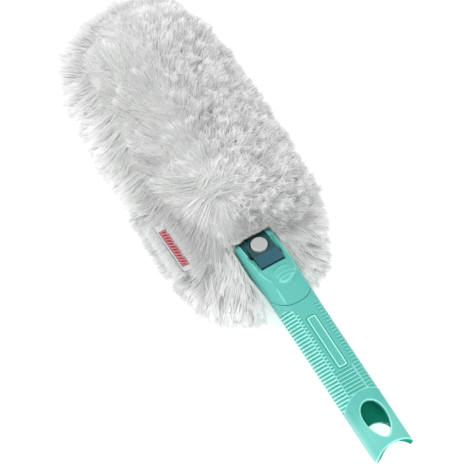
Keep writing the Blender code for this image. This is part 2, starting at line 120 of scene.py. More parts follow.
def plastic(name, col_a, col_b, rough=0.34, grain=900.0, grain_depth=0.00002, sss=0.0, coat=0.0,
            edge=None):
    """Moulded plastic: slow colour drift, fine satin grain and slightly uneven gloss; when edge is given, convex
    edges take it as a painted highlight.
    """
    mat, n, l, bsdf = node_material(name)
    tc = n.new("ShaderNodeTexCoord")
    slow = add_noise(n, l, tc.outputs["Object"], 22.0, 2.0)
    col = ramp(n, l, slow.outputs["Fac"], [(0.3, col_a), (0.7, col_b)])
    out = col.outputs["Color"]
    # painted highlight: convex edges, found by pointiness, take the edge colour
    if edge is not None:
        geo = n.new("ShaderNodeNewGeometry")
        e = ramp(n, l, geo.outputs["Pointiness"], [(0.5, (0, 0, 0, 1)), (0.6, (1, 1, 1, 1))])
        mix = n.new("ShaderNodeMix")
        mix.data_type = "RGBA"
        l.new(e.outputs["Color"], mix.inputs["Factor"])
        l.new(out, mix.inputs["A"])
        mix.inputs["B"].default_value = edge
        out = mix.outputs["Result"]
    l.new(out, bsdf.inputs["Base Color"])
    fine = add_noise(n, l, tc.outputs["Object"], grain, 2.0)
    rr = n.new("ShaderNodeMapRange")
    rr.inputs["To Min"].default_value = rough - 0.04
    rr.inputs["To Max"].default_value = rough + 0.06
    l.new(slow.outputs["Fac"], rr.inputs["Value"])
    l.new(rr.outputs["Result"], bsdf.inputs["Roughness"])
    bump(n, l, fine.outputs["Fac"], bsdf, 0.25, grain_depth)
    bsdf.inputs["IOR"].default_value = 1.47
    if coat:
        bsdf.inputs["Coat Weight"].default_value = coat
        bsdf.inputs["Coat Roughness"].default_value = 0.2
    if sss:
        bsdf.inputs["Subsurface Weight"].default_value = sss
        bsdf.inputs["Subsurface Radius"].default_value = (0.6, 1.0, 0.9)
        bsdf.inputs["Subsurface Scale"].default_value = 0.002
    return mat


def painted_shading_plastic(name, stops, rough=0.34):
    """Moulded plastic with painted light: a per-vertex attribute darkens the colour as painted shade in hollows and
    lightens it as painted highlight on ridges, which are also glossier than the duller hollows.
    """
    mat, n, l, bsdf = node_material(name)
    tc = n.new("ShaderNodeTexCoord")
    slow = add_noise(n, l, tc.outputs["Object"], 24.0, 2.0)
    at = n.new("ShaderNodeAttribute")
    at.attribute_name = "painted_shading"
    mr = n.new("ShaderNodeMapRange")
    mr.inputs["From Min"].default_value = -1.0
    mr.inputs["From Max"].default_value = 0.6
    l.new(at.outputs["Fac"], mr.inputs["Value"])
    add = n.new("ShaderNodeMath")
    add.operation = "MULTIPLY_ADD"
    l.new(slow.outputs["Fac"], add.inputs[0])
    add.inputs[1].default_value = 0.04
    l.new(mr.outputs["Result"], add.inputs[2])
    # painted shade and painted highlight: the colour ramp follows the attribute, dark in hollows, pale on ridges
    col = ramp(n, l, add.outputs[0], stops)
    l.new(col.outputs["Color"], bsdf.inputs["Base Color"])
    rr = n.new("ShaderNodeMapRange")
    rr.inputs["To Min"].default_value = rough + 0.16
    rr.inputs["To Max"].default_value = rough - 0.06
    l.new(add.outputs[0], rr.inputs["Value"])
    l.new(rr.outputs["Result"], bsdf.inputs["Roughness"])
    fine = add_noise(n, l, tc.outputs["Object"], 900.0, 2.0)
    bump(n, l, fine.outputs["Fac"], bsdf, 0.25, 0.00002)
    bsdf.inputs["IOR"].default_value = 1.47
    return mat


def metal(name):
    mat, n, l, bsdf = node_material(name)
    tc = n.new("ShaderNodeTexCoord")
    mp = n.new("ShaderNodeMapping")
    mp.inputs["Scale"].default_value = (60.0, 900.0, 900.0)
    l.new(tc.outputs["Object"], mp.inputs["Vector"])
    t = add_noise(n, l, mp.outputs["Vector"], 1.0, 3.0)
    col = ramp(n, l, t.outputs["Fac"], [(0.3, (0.50, 0.51, 0.52, 1)), (0.7, (0.66, 0.67, 0.68, 1))])
    l.new(col.outputs["Color"], bsdf.inputs["Base Color"])
    bsdf.inputs["Metallic"].default_value = 1.0
    bsdf.inputs["Roughness"].default_value = 0.32
    bump(n, l, t.outputs["Fac"], bsdf, 0.15, 0.00002)
    return mat


def woven_patch(name, red_a, red_b, pale, x0, x1, y0, y1):
    """Red woven ground with a pale border line and plain slanting stripes."""
    mat = cloth_material(name, red_a, red_b, 0.0004)
    n, l = mat.node_tree.nodes, mat.node_tree.links
    bsdf = n["Principled BSDF"]
    ground = bsdf.inputs["Base Color"].links[0].from_socket
    tc = n.new("ShaderNodeTexCoord")
    sep = n.new("ShaderNodeSeparateXYZ")
    l.new(tc.outputs["Object"], sep.inputs["Vector"])

    def math_node(op, a, b=None, c=None):
        m = n.new("ShaderNodeMath")
        m.operation = op
        for i, v in enumerate((a, b, c)):
            if v is None:
                continue
            if isinstance(v, (int, float)):
                m.inputs[i].default_value = v
            else:
                l.new(v, m.inputs[i])
        return m.outputs[0]

    cx, cy = (x0 + x1) / 2, (y0 + y1) / 2
    ax = math_node("ABSOLUTE", math_node("SUBTRACT", sep.outputs["X"], cx))
    ay = math_node("ABSOLUTE", math_node("SUBTRACT", sep.outputs["Y"], cy))
    # distance to the patch's edge, in metres
    ex = math_node("SUBTRACT", (x1 - x0) / 2, ax)
    ey = math_node("SUBTRACT", (y1 - y0) / 2, ay)
    edge = math_node("MINIMUM", ex, ey)
    line = math_node("LESS_THAN", math_node("ABSOLUTE", math_node("SUBTRACT", edge, 0.00098)), 0.00020)
    rel = math_node("SUBTRACT", sep.outputs["Y"], cy)
    off = math_node("SUBTRACT", sep.outputs["X"], cx)
    wave = math_node("MULTIPLY_ADD", rel, 1 / 0.0031, math_node("MULTIPLY", off, 1 / 0.0060))
    mark = math_node("LESS_THAN", math_node("FRACT", math_node("ADD", wave, 50.2)), 0.27)
    mark = math_node("MULTIPLY", mark, math_node("GREATER_THAN", edge, 0.0015))
    both = math_node("MAXIMUM", line, math_node("MULTIPLY", mark, 0.85))
    mix = n.new("ShaderNodeMix")
    mix.data_type = "RGBA"
    l.new(both, mix.inputs["Factor"])
    l.new(ground, mix.inputs["A"])
    mix.inputs["B"].default_value = pale
    rim = n.new("ShaderNodeMix")
    rim.data_type = "RGBA"
    l.new(math_node("LESS_THAN", edge, 0.00078), rim.inputs["Factor"])
    l.new(mix.outputs["Result"], rim.inputs["A"])
    rim.inputs["B"].default_value = srgb(104, 8, 24)
    l.new(rim.outputs["Result"], bsdf.inputs["Base Color"])
    return mat


def cloth_material(name, col_a, col_b, pitch=0.0006):
    """Knitted or woven cloth: two crossed sets of fine threads."""
    mat, n, l, bsdf = node_material(name)
    tc = n.new("ShaderNodeTexCoord")
    waves = []
    for axis in ("X", "Y"):
        w = n.new("ShaderNodeTexWave")
        w.bands_direction = axis
        w.inputs["Scale"].default_value = 0.314 / pitch / 2
        w.inputs["Distortion"].default_value = 0.6
        w.inputs["Detail"].default_value = 1.0
        l.new(tc.outputs["Object"], w.inputs["Vector"])
        waves.append(w)
    add = n.new("ShaderNodeMath")
    add.operation = "MULTIPLY"
    l.new(waves[0].outputs["Fac"], add.inputs[0])
    l.new(waves[1].outputs["Fac"], add.inputs[1])
    slow = add_noise(n, l, tc.outputs["Object"], 60.0, 3.0)
    mixf = n.new("ShaderNodeMath")
    mixf.operation = "MULTIPLY_ADD"
    l.new(add.outputs[0], mixf.inputs[0])
    mixf.inputs[1].default_value = 0.6
    l.new(slow.outputs["Fac"], mixf.inputs[2])
    col = ramp(n, l, mixf.outputs[0], [(0.25, col_a), (1.0, col_b)])
    l.new(col.outputs["Color"], bsdf.inputs["Base Color"])
    bsdf.inputs["Roughness"].default_value = 0.85
    bsdf.inputs["Sheen Weight"].default_value = 0.25
    bump(n, l, add.outputs[0], bsdf, 0.5, 0.00012)
    return mat


def fibre_material(name, dark, mid, light, translucent=0.4):
    """Pale man-made fibre. Its tone varies from fibre to fibre; the tone attribute also carries painted shade
    towards the root, painted highlight towards the tip and painted light and shade over parts of the pile.
    """
    mat, n, l, bsdf = node_material(name)
    at = n.new("ShaderNodeAttribute")
    at.attribute_name = "tone"
    tc = n.new("ShaderNodeTexCoord")
    patch = add_noise(n, l, tc.outputs["Object"], 38.0, 2.0)
    add = n.new("ShaderNodeMath")
    add.operation = "MULTIPLY_ADD"
    l.new(patch.outputs["Fac"], add.inputs[0])
    add.inputs[1].default_value = 0.16
    l.new(at.outputs["Fac"], add.inputs[2])
    col = ramp(n, l, add.outputs[0], [(0.2, dark), (0.66, mid), (1.0, light)])
    l.new(col.outputs["Color"], bsdf.inputs["Base Color"])
    bsdf.inputs["Roughness"].default_value = 0.6
    bsdf.inputs["Specular IOR Level"].default_value = 0.35
    bsdf.inputs["Sheen Weight"].default_value = 0.15
    bsdf.inputs["Sheen Roughness"].default_value = 0.4
    tr = n.new("ShaderNodeBsdfTranslucent")
    l.new(col.outputs["Color"], tr.inputs["Color"])
    mix = n.new("ShaderNodeMixShader")
    mix.inputs["Fac"].default_value = translucent
    l.new(bsdf.outputs["BSDF"], mix.inputs[1])
    l.new(tr.outputs["BSDF"], mix.inputs[2])
    l.new(mix.outputs["Shader"], n["Material Output"].inputs["Surface"])
    return mat


# teal ramp: the near-black green stops are painted shade for hollows and grooves, the pale stops painted highlight
# for ridges and lips
TEAL = painted_shading_plastic("teal_moulded", [
    (0.00, srgb(0, 42, 20)), (0.08, srgb(4, 78, 56)), (0.20, srgb(60, 154, 140)),
    (0.36, srgb(78, 171, 158)), (0.56, srgb(84, 174, 164)), (0.68, srgb(86, 177, 167)),
    (0.80, srgb(140, 220, 208)), (1.00, srgb(180, 242, 231))])
# darker, less reflective teal for the inside of the hang-hole hollow: painted shade
TEAL_SHADED_INSIDE = plastic("teal_inside_painted_shade", srgb(8, 134, 108), srgb(12, 144, 118), 0.62)
TEAL_SHADED_INSIDE.node_tree.nodes["Principled BSDF"].inputs["Specular IOR Level"].default_value = 0.12
TEAL_DARK = plastic("dark_teal_moulded", srgb(14, 62, 66), srgb(20, 74, 78), 0.36)
PLATE = plastic("blue_teal_moulded", srgb(24, 78, 92), srgb(32, 88, 101), 0.32)
# the button's convex rim gets a painted highlight
BUTTON = plastic("button_moulded", srgb(136, 140, 139), srgb(146, 150, 148), 0.40, edge=srgb(214, 217, 216))
ACETAL = plastic("lock_moulded", srgb(214, 214, 208), srgb(224, 224, 219), 0.4)
FRAME_P = plastic("frame_moulded", srgb(214, 216, 218), srgb(224, 226, 228), 0.45)
STEEL = metal("plain_steel")
CLOTH = cloth_material("backing_knit", srgb(196, 196, 198), srgb(226, 226, 228))
FIBRE = fibre_material("long_pile", srgb(196, 197, 196), srgb(234, 235, 234), srgb(255, 255, 255))
UNDER = cloth_material("pile_base", srgb(236, 237, 238), srgb(250, 250, 250), 0.0009)
LABEL_W = cloth_material("label_tape", srgb(184, 184, 187), srgb(208, 208, 210), 0.0004)
PATCH_X, PATCH_Y = (-59.5, -53.3), (15.3, 52.6)
LABEL_R = woven_patch("label_red_weave", srgb(122, 6, 24), srgb(154, 18, 36), srgb(222, 164, 172),
                      PATCH_X[0] * MM, PATCH_X[1] * MM, (PATCH_Y[0] + HINGE[1]) * MM,
                      (PATCH_Y[1] + HINGE[1]) * MM)


def paint(name, mat):
    ob = nodes[name]
    if not ob.material_slots:
        ob.data.materials.append(mat)
    for s in ob.material_slots:
        s.material = mat


for nm in ("hinge_pin", "latch_leaf", "hub_screw_left", "hub_screw_right", "button_spring"):
    paint(nm, STEEL)
for nm in ("detent_ring_left", "detent_ring_right", "latch_stud", "lock_key"):
    paint(nm, ACETAL)
for nm in ("cover_front_cloth", "cover_back_cloth", "edge_binding", "front_hem", "back_hem"):
    paint(nm, CLOTH)
paint("head_frame", FRAME_P)
paint("joint_housing", TEAL)
paint("grip_tube", TEAL)
paint("hub_front", TEAL_DARK)
paint("hub_back", TEAL_DARK)
paint("release_button", BUTTON)


# ------------------------------------------------------------- mesh helpers
def new_object(name, verts, faces, mat, which="head", smooth=True, angle=38.0, body=None):
    """verts are millimetres in the given frame. faces is a list, or an array of quads."""
    me = bpy.data.meshes.new(name)
    co = (to_world(verts, which) * MM).astype(np.float32)
    if isinstance(faces, np.ndarray):
        nf, k = faces.shape
        me.vertices.add(len(co))
        me.vertices.foreach_set("co", co.ravel())
        me.loops.add(nf * k)
        me.loops.foreach_set("vertex_index", faces.astype(np.int32).ravel())
        me.polygons.add(nf)
        me.polygons.foreach_set("loop_start", np.arange(0, nf * k, k, dtype=np.int32))
        me.update(calc_edges=True)
    else:
        me.from_pydata([tuple(map(float, c)) for c in co], [], faces)
        me.update()
    ob = bpy.data.objects.new(name, me)
    scene.collection.objects.link(ob)
    for m in mat if isinstance(mat, (list, tuple)) else [mat]:
        me.materials.append(m)
    if smooth:
        me.shade_smooth()
        if angle:
            me.set_sharp_from_angle(angle=math.radians(angle))
    if body:
        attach(ob, body)
    return ob


def ring_faces(rows, cols, close_rows=False):
    """Quads between rings; columns always close."""
    r = np.arange(rows if close_rows else rows - 1)
    c = np.arange(cols)
    R, C = np.meshgrid(r, c, indexing="ij")
    a = R * cols + C
    b = R * cols + (C + 1) % cols
    R2 = (R + 1) % rows
    return np.stack([a, b, R2 * cols + (C + 1) % cols, R2 * cols + C], -1).reshape(-1, 4)


def rings_object(name, rings, mat, which, closed=False, caps=True, body=None, angle=38.0):
    rings = np.asarray(rings, float)
    rows, cols = rings.shape[:2]
    faces = ring_faces(rows, cols, closed).tolist()
    if caps and not closed:
        faces.append(list(range(cols))[::-1])
        faces.append([(rows - 1) * cols + i for i in range(cols)])
    ob = new_object(name, rings.reshape(-1, 3), faces, mat, which, body=body, angle=angle)
    bm = bmesh.new()
    bm.from_mesh(ob.data)
    bmesh.ops.recalc_face_normals(bm, faces=bm.faces)
    if bm.calc_volume(signed=True) < 0:
        bmesh.ops.reverse_faces(bm, faces=bm.faces)
    bm.to_mesh(ob.data)
    bm.free()
    return ob


def cut_with(ob, tools, angle=38.0):
    for tool in tools:
        mod = ob.modifiers.new("cut", "BOOLEAN")
        mod.operation = "DIFFERENCE"
        mod.solver = "EXACT"
        mod.object = tool
    bpy.context.view_layer.update()
    dg = bpy.context.evaluated_depsgraph_get()
    me = bpy.data.meshes.new_from_object(ob.evaluated_get(dg))
    ob.modifiers.clear()
    ob.data = me
    for tool in tools:
        bpy.data.objects.remove(tool, do_unlink=True)
    me.shade_smooth()
    me.set_sharp_from_angle(angle=math.radians(angle))
    return ob


def turned(profile, n=48, axis="Z", centre=(0.0, 0.0)):
    rings = []
    for r, h in profile:
        a = 2 * np.pi * (np.arange(n) + 0.37) / n
        c, s = r * np.cos(a), r * np.sin(a)
        if axis == "Z":
            rings.append(np.stack([centre[0] + c, centre[1] + s, np.full(n, h)], -1))
        else:
            rings.append(np.stack([np.full(n, h), centre[0] + c, centre[1] + s], -1))
    return rings


def prism(points, lo, hi, axis):
    pts = np.asarray(points, float)
    out = []
    for h in (lo, hi):
        k = np.full(len(pts), h)
        if axis == "X":
            out.append(np.stack([k, pts[:, 0], pts[:, 1]], -1))
        elif axis == "Y":
            out.append(np.stack([pts[:, 0], k, pts[:, 1]], -1))
        else:
            out.append(np.stack([pts[:, 0], pts[:, 1], k], -1))
    return out


def box_rings(x0, x1, y0, y1, z0, z1):
    return prism([(x0, y0), (x1, y0), (x1, y1), (x0, y1)], z0, z1, "Z")


def tool(rings, which):
    return rings_object("tool", rings, [], which)


def step01(e0, e1, x):
    t = np.clip((x - e0) / (e1 - e0), 0.0, 1.0)
    return t * t * (3 - 2 * t)


# ------------------------------------------------------------- handle shape
GRIP_W, GRIP_H, GRIP_END = 16.5, 11.2, -198.5
SEAM_SIDE, SEAM_TONGUE, GAP = -45.6, 14.2, 0.30
EAR_R, EAR_W = 13.2, 17.3


def section(w, h, cols, p=3.6):
    """Rounded rectangle with its points evenly spaced along the outline."""
    a = np.linspace(0, 2 * np.pi, 12001)
    c, s = np.cos(a), np.sin(a)
    x, z = w * np.sign(c) * np.abs(c) ** (2 / p), h * np.sign(s) * np.abs(s) ** (2 / p)
    run = np.concatenate([[0.0], np.cumsum(np.hypot(np.diff(x) * 16.5 / w, np.diff(z) * 11.2 / h))])
    at = (np.arange(cols) + 0.5) / cols * run[-1]
    return np.interp(at, run, x), np.interp(at, run, z)


def outward(x, z):
    """Unit normals of a closed outline, by central difference."""
    dx = np.roll(x, -1) - np.roll(x, 1)
    dz = np.roll(z, -1) - np.roll(z, 1)
    n = np.hypot(dx, dz)
    return dz / n, -dx / n


def seam_y(x, z):
    u = np.clip(1.0 - np.abs(x / GRIP_W) ** 2.4, 0.0, None) ** (1 / 2.4)
    return np.where(z > 0, SEAM_SIDE - SEAM_TONGUE * u, SEAM_SIDE)


def box_distance(x, y, cx, cy, hx, hy, r):
    """Signed distance to a rounded rectangle."""
    qx, qy = np.abs(x - cx) - (hx - r), np.abs(y - cy) - (hy - r)
    return np.hypot(np.maximum(qx, 0), np.maximum(qy, 0)) + np.minimum(np.maximum(qx, qy), 0) - r


HOLE_MID, HOLE_HALF, HOLE_W = -170.75, 15.75, 9.2


def grip_relief(x, z, y):
    """Height of the moulded detail over the plain grip, in millimetres."""
    h = np.zeros_like(y)
    front = z > 0
    # the arch that closes the ribbed zone, and the curves that open it
    arch = -145.0 - 0.024 * (x - 1.0) ** 2
    top_left = -60.5 - 5.0 * step01(-16.0, -6.0, x)
    top_right = -64.5 - 1.5 * step01(16.0, 8.0, x)

    slant = 0.27 * np.clip(GRIP_H - 0.35 - z, 0.0, 30.0)

    def ribs(phase, lo, hi, pitch=3.05, yy=y):
        return step01(lo, hi, 0.5 + 0.5 * np.cos(2 * np.pi * (yy - phase) / pitch))

    def zone(inside, rib, depth, peak):
        return inside * (-depth + (depth + peak) * rib)

    below_arch = step01(-0.1, 0.4, y - arch)
    round_back = step01(-7.2, -6.2, np.where(front, 0.0, z))
    # flank ribs run from the back edge up to a ridge line on each side of the front
    in_l = step01(-9.3, -9.8, x) * round_back * below_arch * step01(0.0, 0.5, top_left - y)
    edge_r = 9.6 - 1.4 * step01(-118.0, -126.0, y)
    in_r = step01(edge_r - 0.2, edge_r + 0.3, x) * round_back * below_arch
    in_r = in_r * step01(0.0, 0.5, top_right - y)
    # short ribs inside the left ridge, set half a pitch off
    in_s = step01(-8.8, -8.4, x) * step01(-6.2, -6.7, x) * front
    in_s = in_s * step01(0.0, 0.5, -66.0 - 0.9 * (x + 9.0) - y) * step01(-123.8, -123.3, y)
    # ribs across the front below the panel
    in_f = step01(-8.7, -8.2, x) * step01(6.9, 6.4, x) * front
    in_f = in_f * step01(-124.0, -124.5, y) * below_arch
    h += zone(in_l, ribs(-62.0, 0.10, 0.60, yy=y - slant), 0.58, 0.28)
    h += zone(in_r, ribs(-62.9, 0.15, 0.65, yy=y - slant), 0.46, 0.12)
    h += zone(in_s, ribs(-63.5, 0.30, 0.70), 0.48, 0.28)
    h += zone(in_f, ribs(-63.2, 0.42, 0.90), 0.52, 0.26)
    for cx, y0, y1, top in ((-9.1, -146.0, -64.0, 0.34), (7.7, -146.0, -124.0, 0.30)):
        line = np.exp(-((x - cx) / 0.36) ** 2) * front
        h += top * line * step01(y0 - 1, y0 + 1, y) * step01(y1 + 1, y1 - 1, y)
    edge = np.exp(-((y - arch + 0.5) / 0.42) ** 2) * step01(-9.0, -6.0, z)
    h += 0.26 * edge
    # bare panel: a groove round it, a raised border and a slightly sunk field
    d = box_distance(x, y, 1.0, -98.6, 4.35, 24.2, 2.1)
    d = np.where(front, d, 9.0)
    h += -0.60 * np.exp(-(d / 0.40) ** 2)
    h += 0.42 * np.exp(-((d + 1.05) / 0.42) ** 2)
    h += -0.22 * step01(-1.5, -2.0, d)
    # rounded lip of the hang hole
    w = HOLE_W * (1 + 0.16 * np.clip((y - HOLE_MID) / HOLE_HALF, -1, 1))
    e = np.hypot(x / w, (y - HOLE_MID) / HOLE_HALF)
    dist = (e - 1.0) * 11.0
    h -= np.where(front & (z > 2), 0.55 * np.clip(1 - dist / 1.1, 0, 1) ** 2, 0.0)
    return h


def hole_and_panel_painted_light(x, z, y):
    """Painted highlight on the hang hole's lip and the panel's raised border, and painted shade in the panel's
    groove.
    """
    w = HOLE_W * (1 + 0.16 * np.clip((y - HOLE_MID) / HOLE_HALF, -1, 1))
    e = np.hypot(x / w, (y - HOLE_MID) / HOLE_HALF)
    s = np.where(z > 2, 0.5 * np.exp(-((e - 1.035) * 11.0 / 0.42) ** 2), 0.0)
    d = np.where(z > 2, box_distance(x, y, 1.0, -98.6, 4.35, 24.2, 2.1), 9.0)
    s += 0.34 * np.exp(-((d + 1.05) / 0.40) ** 2) - 0.30 * np.exp(-((d - 0.05) / 0.38) ** 2)
    return s


def set_painted_shading(ob, values):
    # stores per-vertex painted shade and painted highlight values that colour the teal
    at = ob.data.attributes.new("painted_shading", "FLOAT", "POINT")
    at.data.foreach_set("value", np.asarray(values, np.float32).ravel())


def build_grip():
    cols = 224
    x0, z0 = section(GRIP_W, GRIP_H, cols)
    nx, nz = outward(x0, z0)
    rows = 416
    # the open end is scooped in front and cut back behind, so it ends in two points
    scoop = 4.9 * np.clip(1 - (x0 / 15.9) ** 2, 0, 1)
    end = GRIP_END + np.where(z0 > 0, scoop, 9.0 * np.clip(-z0 / GRIP_H, 0, 1) ** 1.2)
    top = seam_y(x0, z0) - GAP / 2
    t = np.linspace(0, 1, rows)[:, None]
    y = end[None] * (1 - t) + top[None] * t
    X, Z = np.broadcast_to(x0, y.shape), np.broadcast_to(z0, y.shape)
    h = grip_relief(X, Z, y)
    # painted light on the grip: its moulded height as painted shade and highlight, painted highlight on the hang
    # hole's lip and the open end's rim, lighter over the lower grip, painted shade at the seam
    shade = h + hole_and_panel_painted_light(X, Z, y)
    shade = shade + 0.35 * np.clip(1 - (y - end[None]) / 1.6, 0, 1)
    shade = shade + 0.11 * step01(-142.0, -180.0, y)
    h = h - 0.42 * np.clip(1 - (top[None] - y) / 0.55, 0, 1) ** 1.5
    h = h - 0.5 * np.clip(1 - (y - end[None]) / 0.8, 0, 1) ** 2
    shade = shade - 0.5 * np.clip(1 - (top[None] - y) / 0.4, 0, 1)
    rings = [np.stack([X[i] + nx * h[i], y[i], Z[i] + nz * h[i]], -1) for i in range(rows)]
    sx, sz = section(14.0, 8.7, cols, 2.6)
    ix, iz = section(12.1, 6.8, cols, 2.6)
    wx, wz = section(14.1, 8.8, cols, 2.8)
    ring = lambda xx, yy, zz: np.stack([xx, np.broadcast_to(yy, xx.shape), zz], -1)
    rings.append(ring(sx, top, sz))
    rings.append(ring(sx, -30.5, sz))
    rings.append(ring(sx * 0.97, -29.0, sz * 0.95))
    rings.append(ring(ix, -29.0, iz))
    rings.append(ring(ix, -74.0, iz))
    rings.append(ring(wx, -80.0, wz))
    rings.append(ring(wx, -140.0, wz))
    rings.append(ring(wx * 0.86, -150.0, wz))
    rings.append(ring(wx * 0.86, -186.0, wz))
    rings.append(ring(wx, end + 0.05, wz))
    ob = rings_object("grip_moulding", rings, TEAL, "grip", closed=True)
    # the inner rings get painted shade (near-black teal)
    set_painted_shading(ob, np.vstack([shade, np.full((10, cols), -0.95)]))
    tools = []
    a = 2 * np.pi * np.arange(72) / 72
    w = HOLE_W * (1 + 0.16 * np.sin(a))
    tools.append(tool(prism(np.stack([w * np.cos(a), HOLE_MID + HOLE_HALF * np.sin(a)], -1),
                            2.0, 30.0, "Z"), "grip"))
    b = np.pi * np.arange(1, 32) / 32
    cut = [(11.6, -230.0), (11.6, -179.6)]
    cut += [(11.6 * math.cos(k), -179.6 + 11.6 * math.sin(k)) for k in b]
    cut += [(-11.6, -179.6), (-11.6, -230.0)]
    tools.append(tool(prism(cut, -30.0, -2.0, "Z"), "grip"))
    tools.append(tool(turned([(3.5, 4.0), (3.5, 9.4)], 40, "Z", (0, -37.0)), "grip"))
    cut_with(ob, tools, 32.0)
    # the hollow behind the hang hole gets a darker teal with weaker reflection: painted shade inside the hole
    if len(ob.data.materials) < 2:
        ob.data.materials.clear()
        ob.data.materials.append(TEAL)
        ob.data.materials.append(TEAL_SHADED_INSIDE)
    for poly in ob.data.polygons:
        q = GRIP_R.T @ (np.array(poly.center) / MM - GRIP_O)
        deep = (abs(q[0]) / 15.2) ** 3.6 + (abs(q[2]) / 9.7) ** 3.6 < 1.0
        poly.material_index = 1 if deep and q[1] < -76.0 else 0
    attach(ob, "grip")
    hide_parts("grip_tube")
    return ob


def bend(x, y, z):
    """Straight handle coordinates to the fork frame, along the bent centre line."""
    a = np.clip((-y - BEND_START) / BEND_R, 0.0, BEND)
    rest = np.clip(-y - BEND_END, 0.0, None)
    by = -BEND_START - (BEND_R + z) * np.sin(a) - rest * np.cos(a)
    bz = -BEND_R + (BEND_R + z) * np.cos(a) - rest * np.sin(a)
    keep = y > -BEND_START
    return np.stack([x, np.where(keep, y, by), np.where(keep, z, bz)], -1)


def smooth_table(table, y):
    ys = np.array([q[0] for q in table])[::-1]
    vs = np.array([q[1] for q in table])[::-1]
    i = np.clip(np.searchsorted(ys, y) - 1, 0, len(ys) - 2)
    t = np.clip((y - ys[i]) / (ys[i + 1] - ys[i]), 0, 1)
    return vs[i] + (vs[i + 1] - vs[i]) * (1 - np.cos(np.pi * t)) / 2


def arc_ridge(x, y, cx, cy, r, wide):
    """A raised arc: the far part of a circle."""
    d = np.hypot(x - cx, y - cy)
    reach = step01(0.35, 0.6, (y - cy) / (d + 1e-6))
    return np.exp(-((d - r) / wide) ** 2) * reach


PAD_ARCS = ((2.6, -49.2, 18.6), (2.6, -52.4, 17.9), (2.0, -57.0, 19.4))


def pad_fields(x, y):
    """Distance fields of the U-shaped rim, which runs on from the ears' lips, and of the pad."""
    rim = np.hypot((x - 0.8) / 14.5, (np.minimum(y, -21.0) + 21.0) / 21.6)
    pad = np.hypot((x - 2.4) / 9.6, (y + 34.9) / 7.6)
    return rim, pad


def ear_hollow(x, y):
    """The dished inner side of the right ear."""
    return step01(9.0, 10.8, x) * step01(16.3, 13.8, x) * step01(-26.0, -17.0, y) * step01(-0.8, -6.0, y)


def housing_relief(x, z, y):
    h = np.zeros_like(y)
    front = np.where(z > 0, 1.0, 0.0)
    rim, pad = pad_fields(x, y)
    near = step01(-8.0, -16.0, y)
    # sunk bowl inside the rim, with the pad standing in it
    h -= 0.95 * step01(1.03, 0.84, rim) * front * near
    h += 0.16 * np.exp(-((rim - 1.05) / 0.05) ** 2) * front * near
    h += (2.1 - 0.7 * pad ** 2) * step01(1.08, 0.76, pad) * front
    on = step01(0.98, 0.80, pad) * front
    for cx, cy, r in PAD_ARCS:
        h += 0.42 * arc_ridge(x, y, cx, cy, r, 0.55) * on
    h -= 1.9 * ear_hollow(x, y) * front
    # soft edge between the front face and the left flank, dying out at the seam
    fade = step01(-62.0, -50.0, y) * step01(-36.0, -44.0, y) * front
    h += 0.22 * np.exp(-((x + 9.6) / 1.1) ** 2) * fade
    return h


def housing_shade(x, z, y):
    """Painted highlight and painted shade on the housing, beyond what its height gives."""
    rim, pad = pad_fields(x, y)
    front = np.where(z > 0, 1.0, 0.0)
    near = step01(-8.0, -16.0, y)
    # painted highlight on the rim's lip, painted shade in the bowl round the pad
    s = 0.13 * np.exp(-((rim - 1.04) / 0.05) ** 2) * near * front * step01(-46.0, -36.0, y)
    s -= 0.22 * step01(1.0, 0.88, rim) * step01(0.88, 1.10, pad) * near * front
    # painted shade in the right ear's dish, painted highlight on its outer rim
    s -= 0.74 * step01(9.6, 10.6, x) * step01(16.0, 14.4, x) * step01(-25.0, -15.0, y) * front
    s += 0.17 * np.exp(-((x - 16.4) / 0.7) ** 2) * step01(-24.0, -16.0, y) * front
    # painted highlight on each arc of the pad and painted shade just beyond it
    on = step01(0.98, 0.80, pad) * front
    for cx, cy, r in PAD_ARCS:
        s += 0.17 * arc_ridge(x, y, cx, cy, r, 0.50) * on
        s -= 0.17 * arc_ridge(x, y, cx, cy, r + 1.2, 0.6) * on
    # the pad's lower edge falls away to the plain front face: painted highlight along its edge, painted shade just
    # outside it
    s += 0.16 * np.exp(-((rim - 0.93) / 0.05) ** 2) * step01(-37.0, -40.0, y) * front
    s -= 0.16 * np.exp(-((rim - 1.09) / 0.05) ** 2) * step01(-36.0, -40.0, y) * front
    # painted highlight along the edge between the front face and the left flank
    fade = step01(-62.0, -52.0, y) * step01(-38.0, -46.0, y) * front
    s += 0.18 * np.exp(-((x + 9.6) / 0.9) ** 2) * fade
    return s


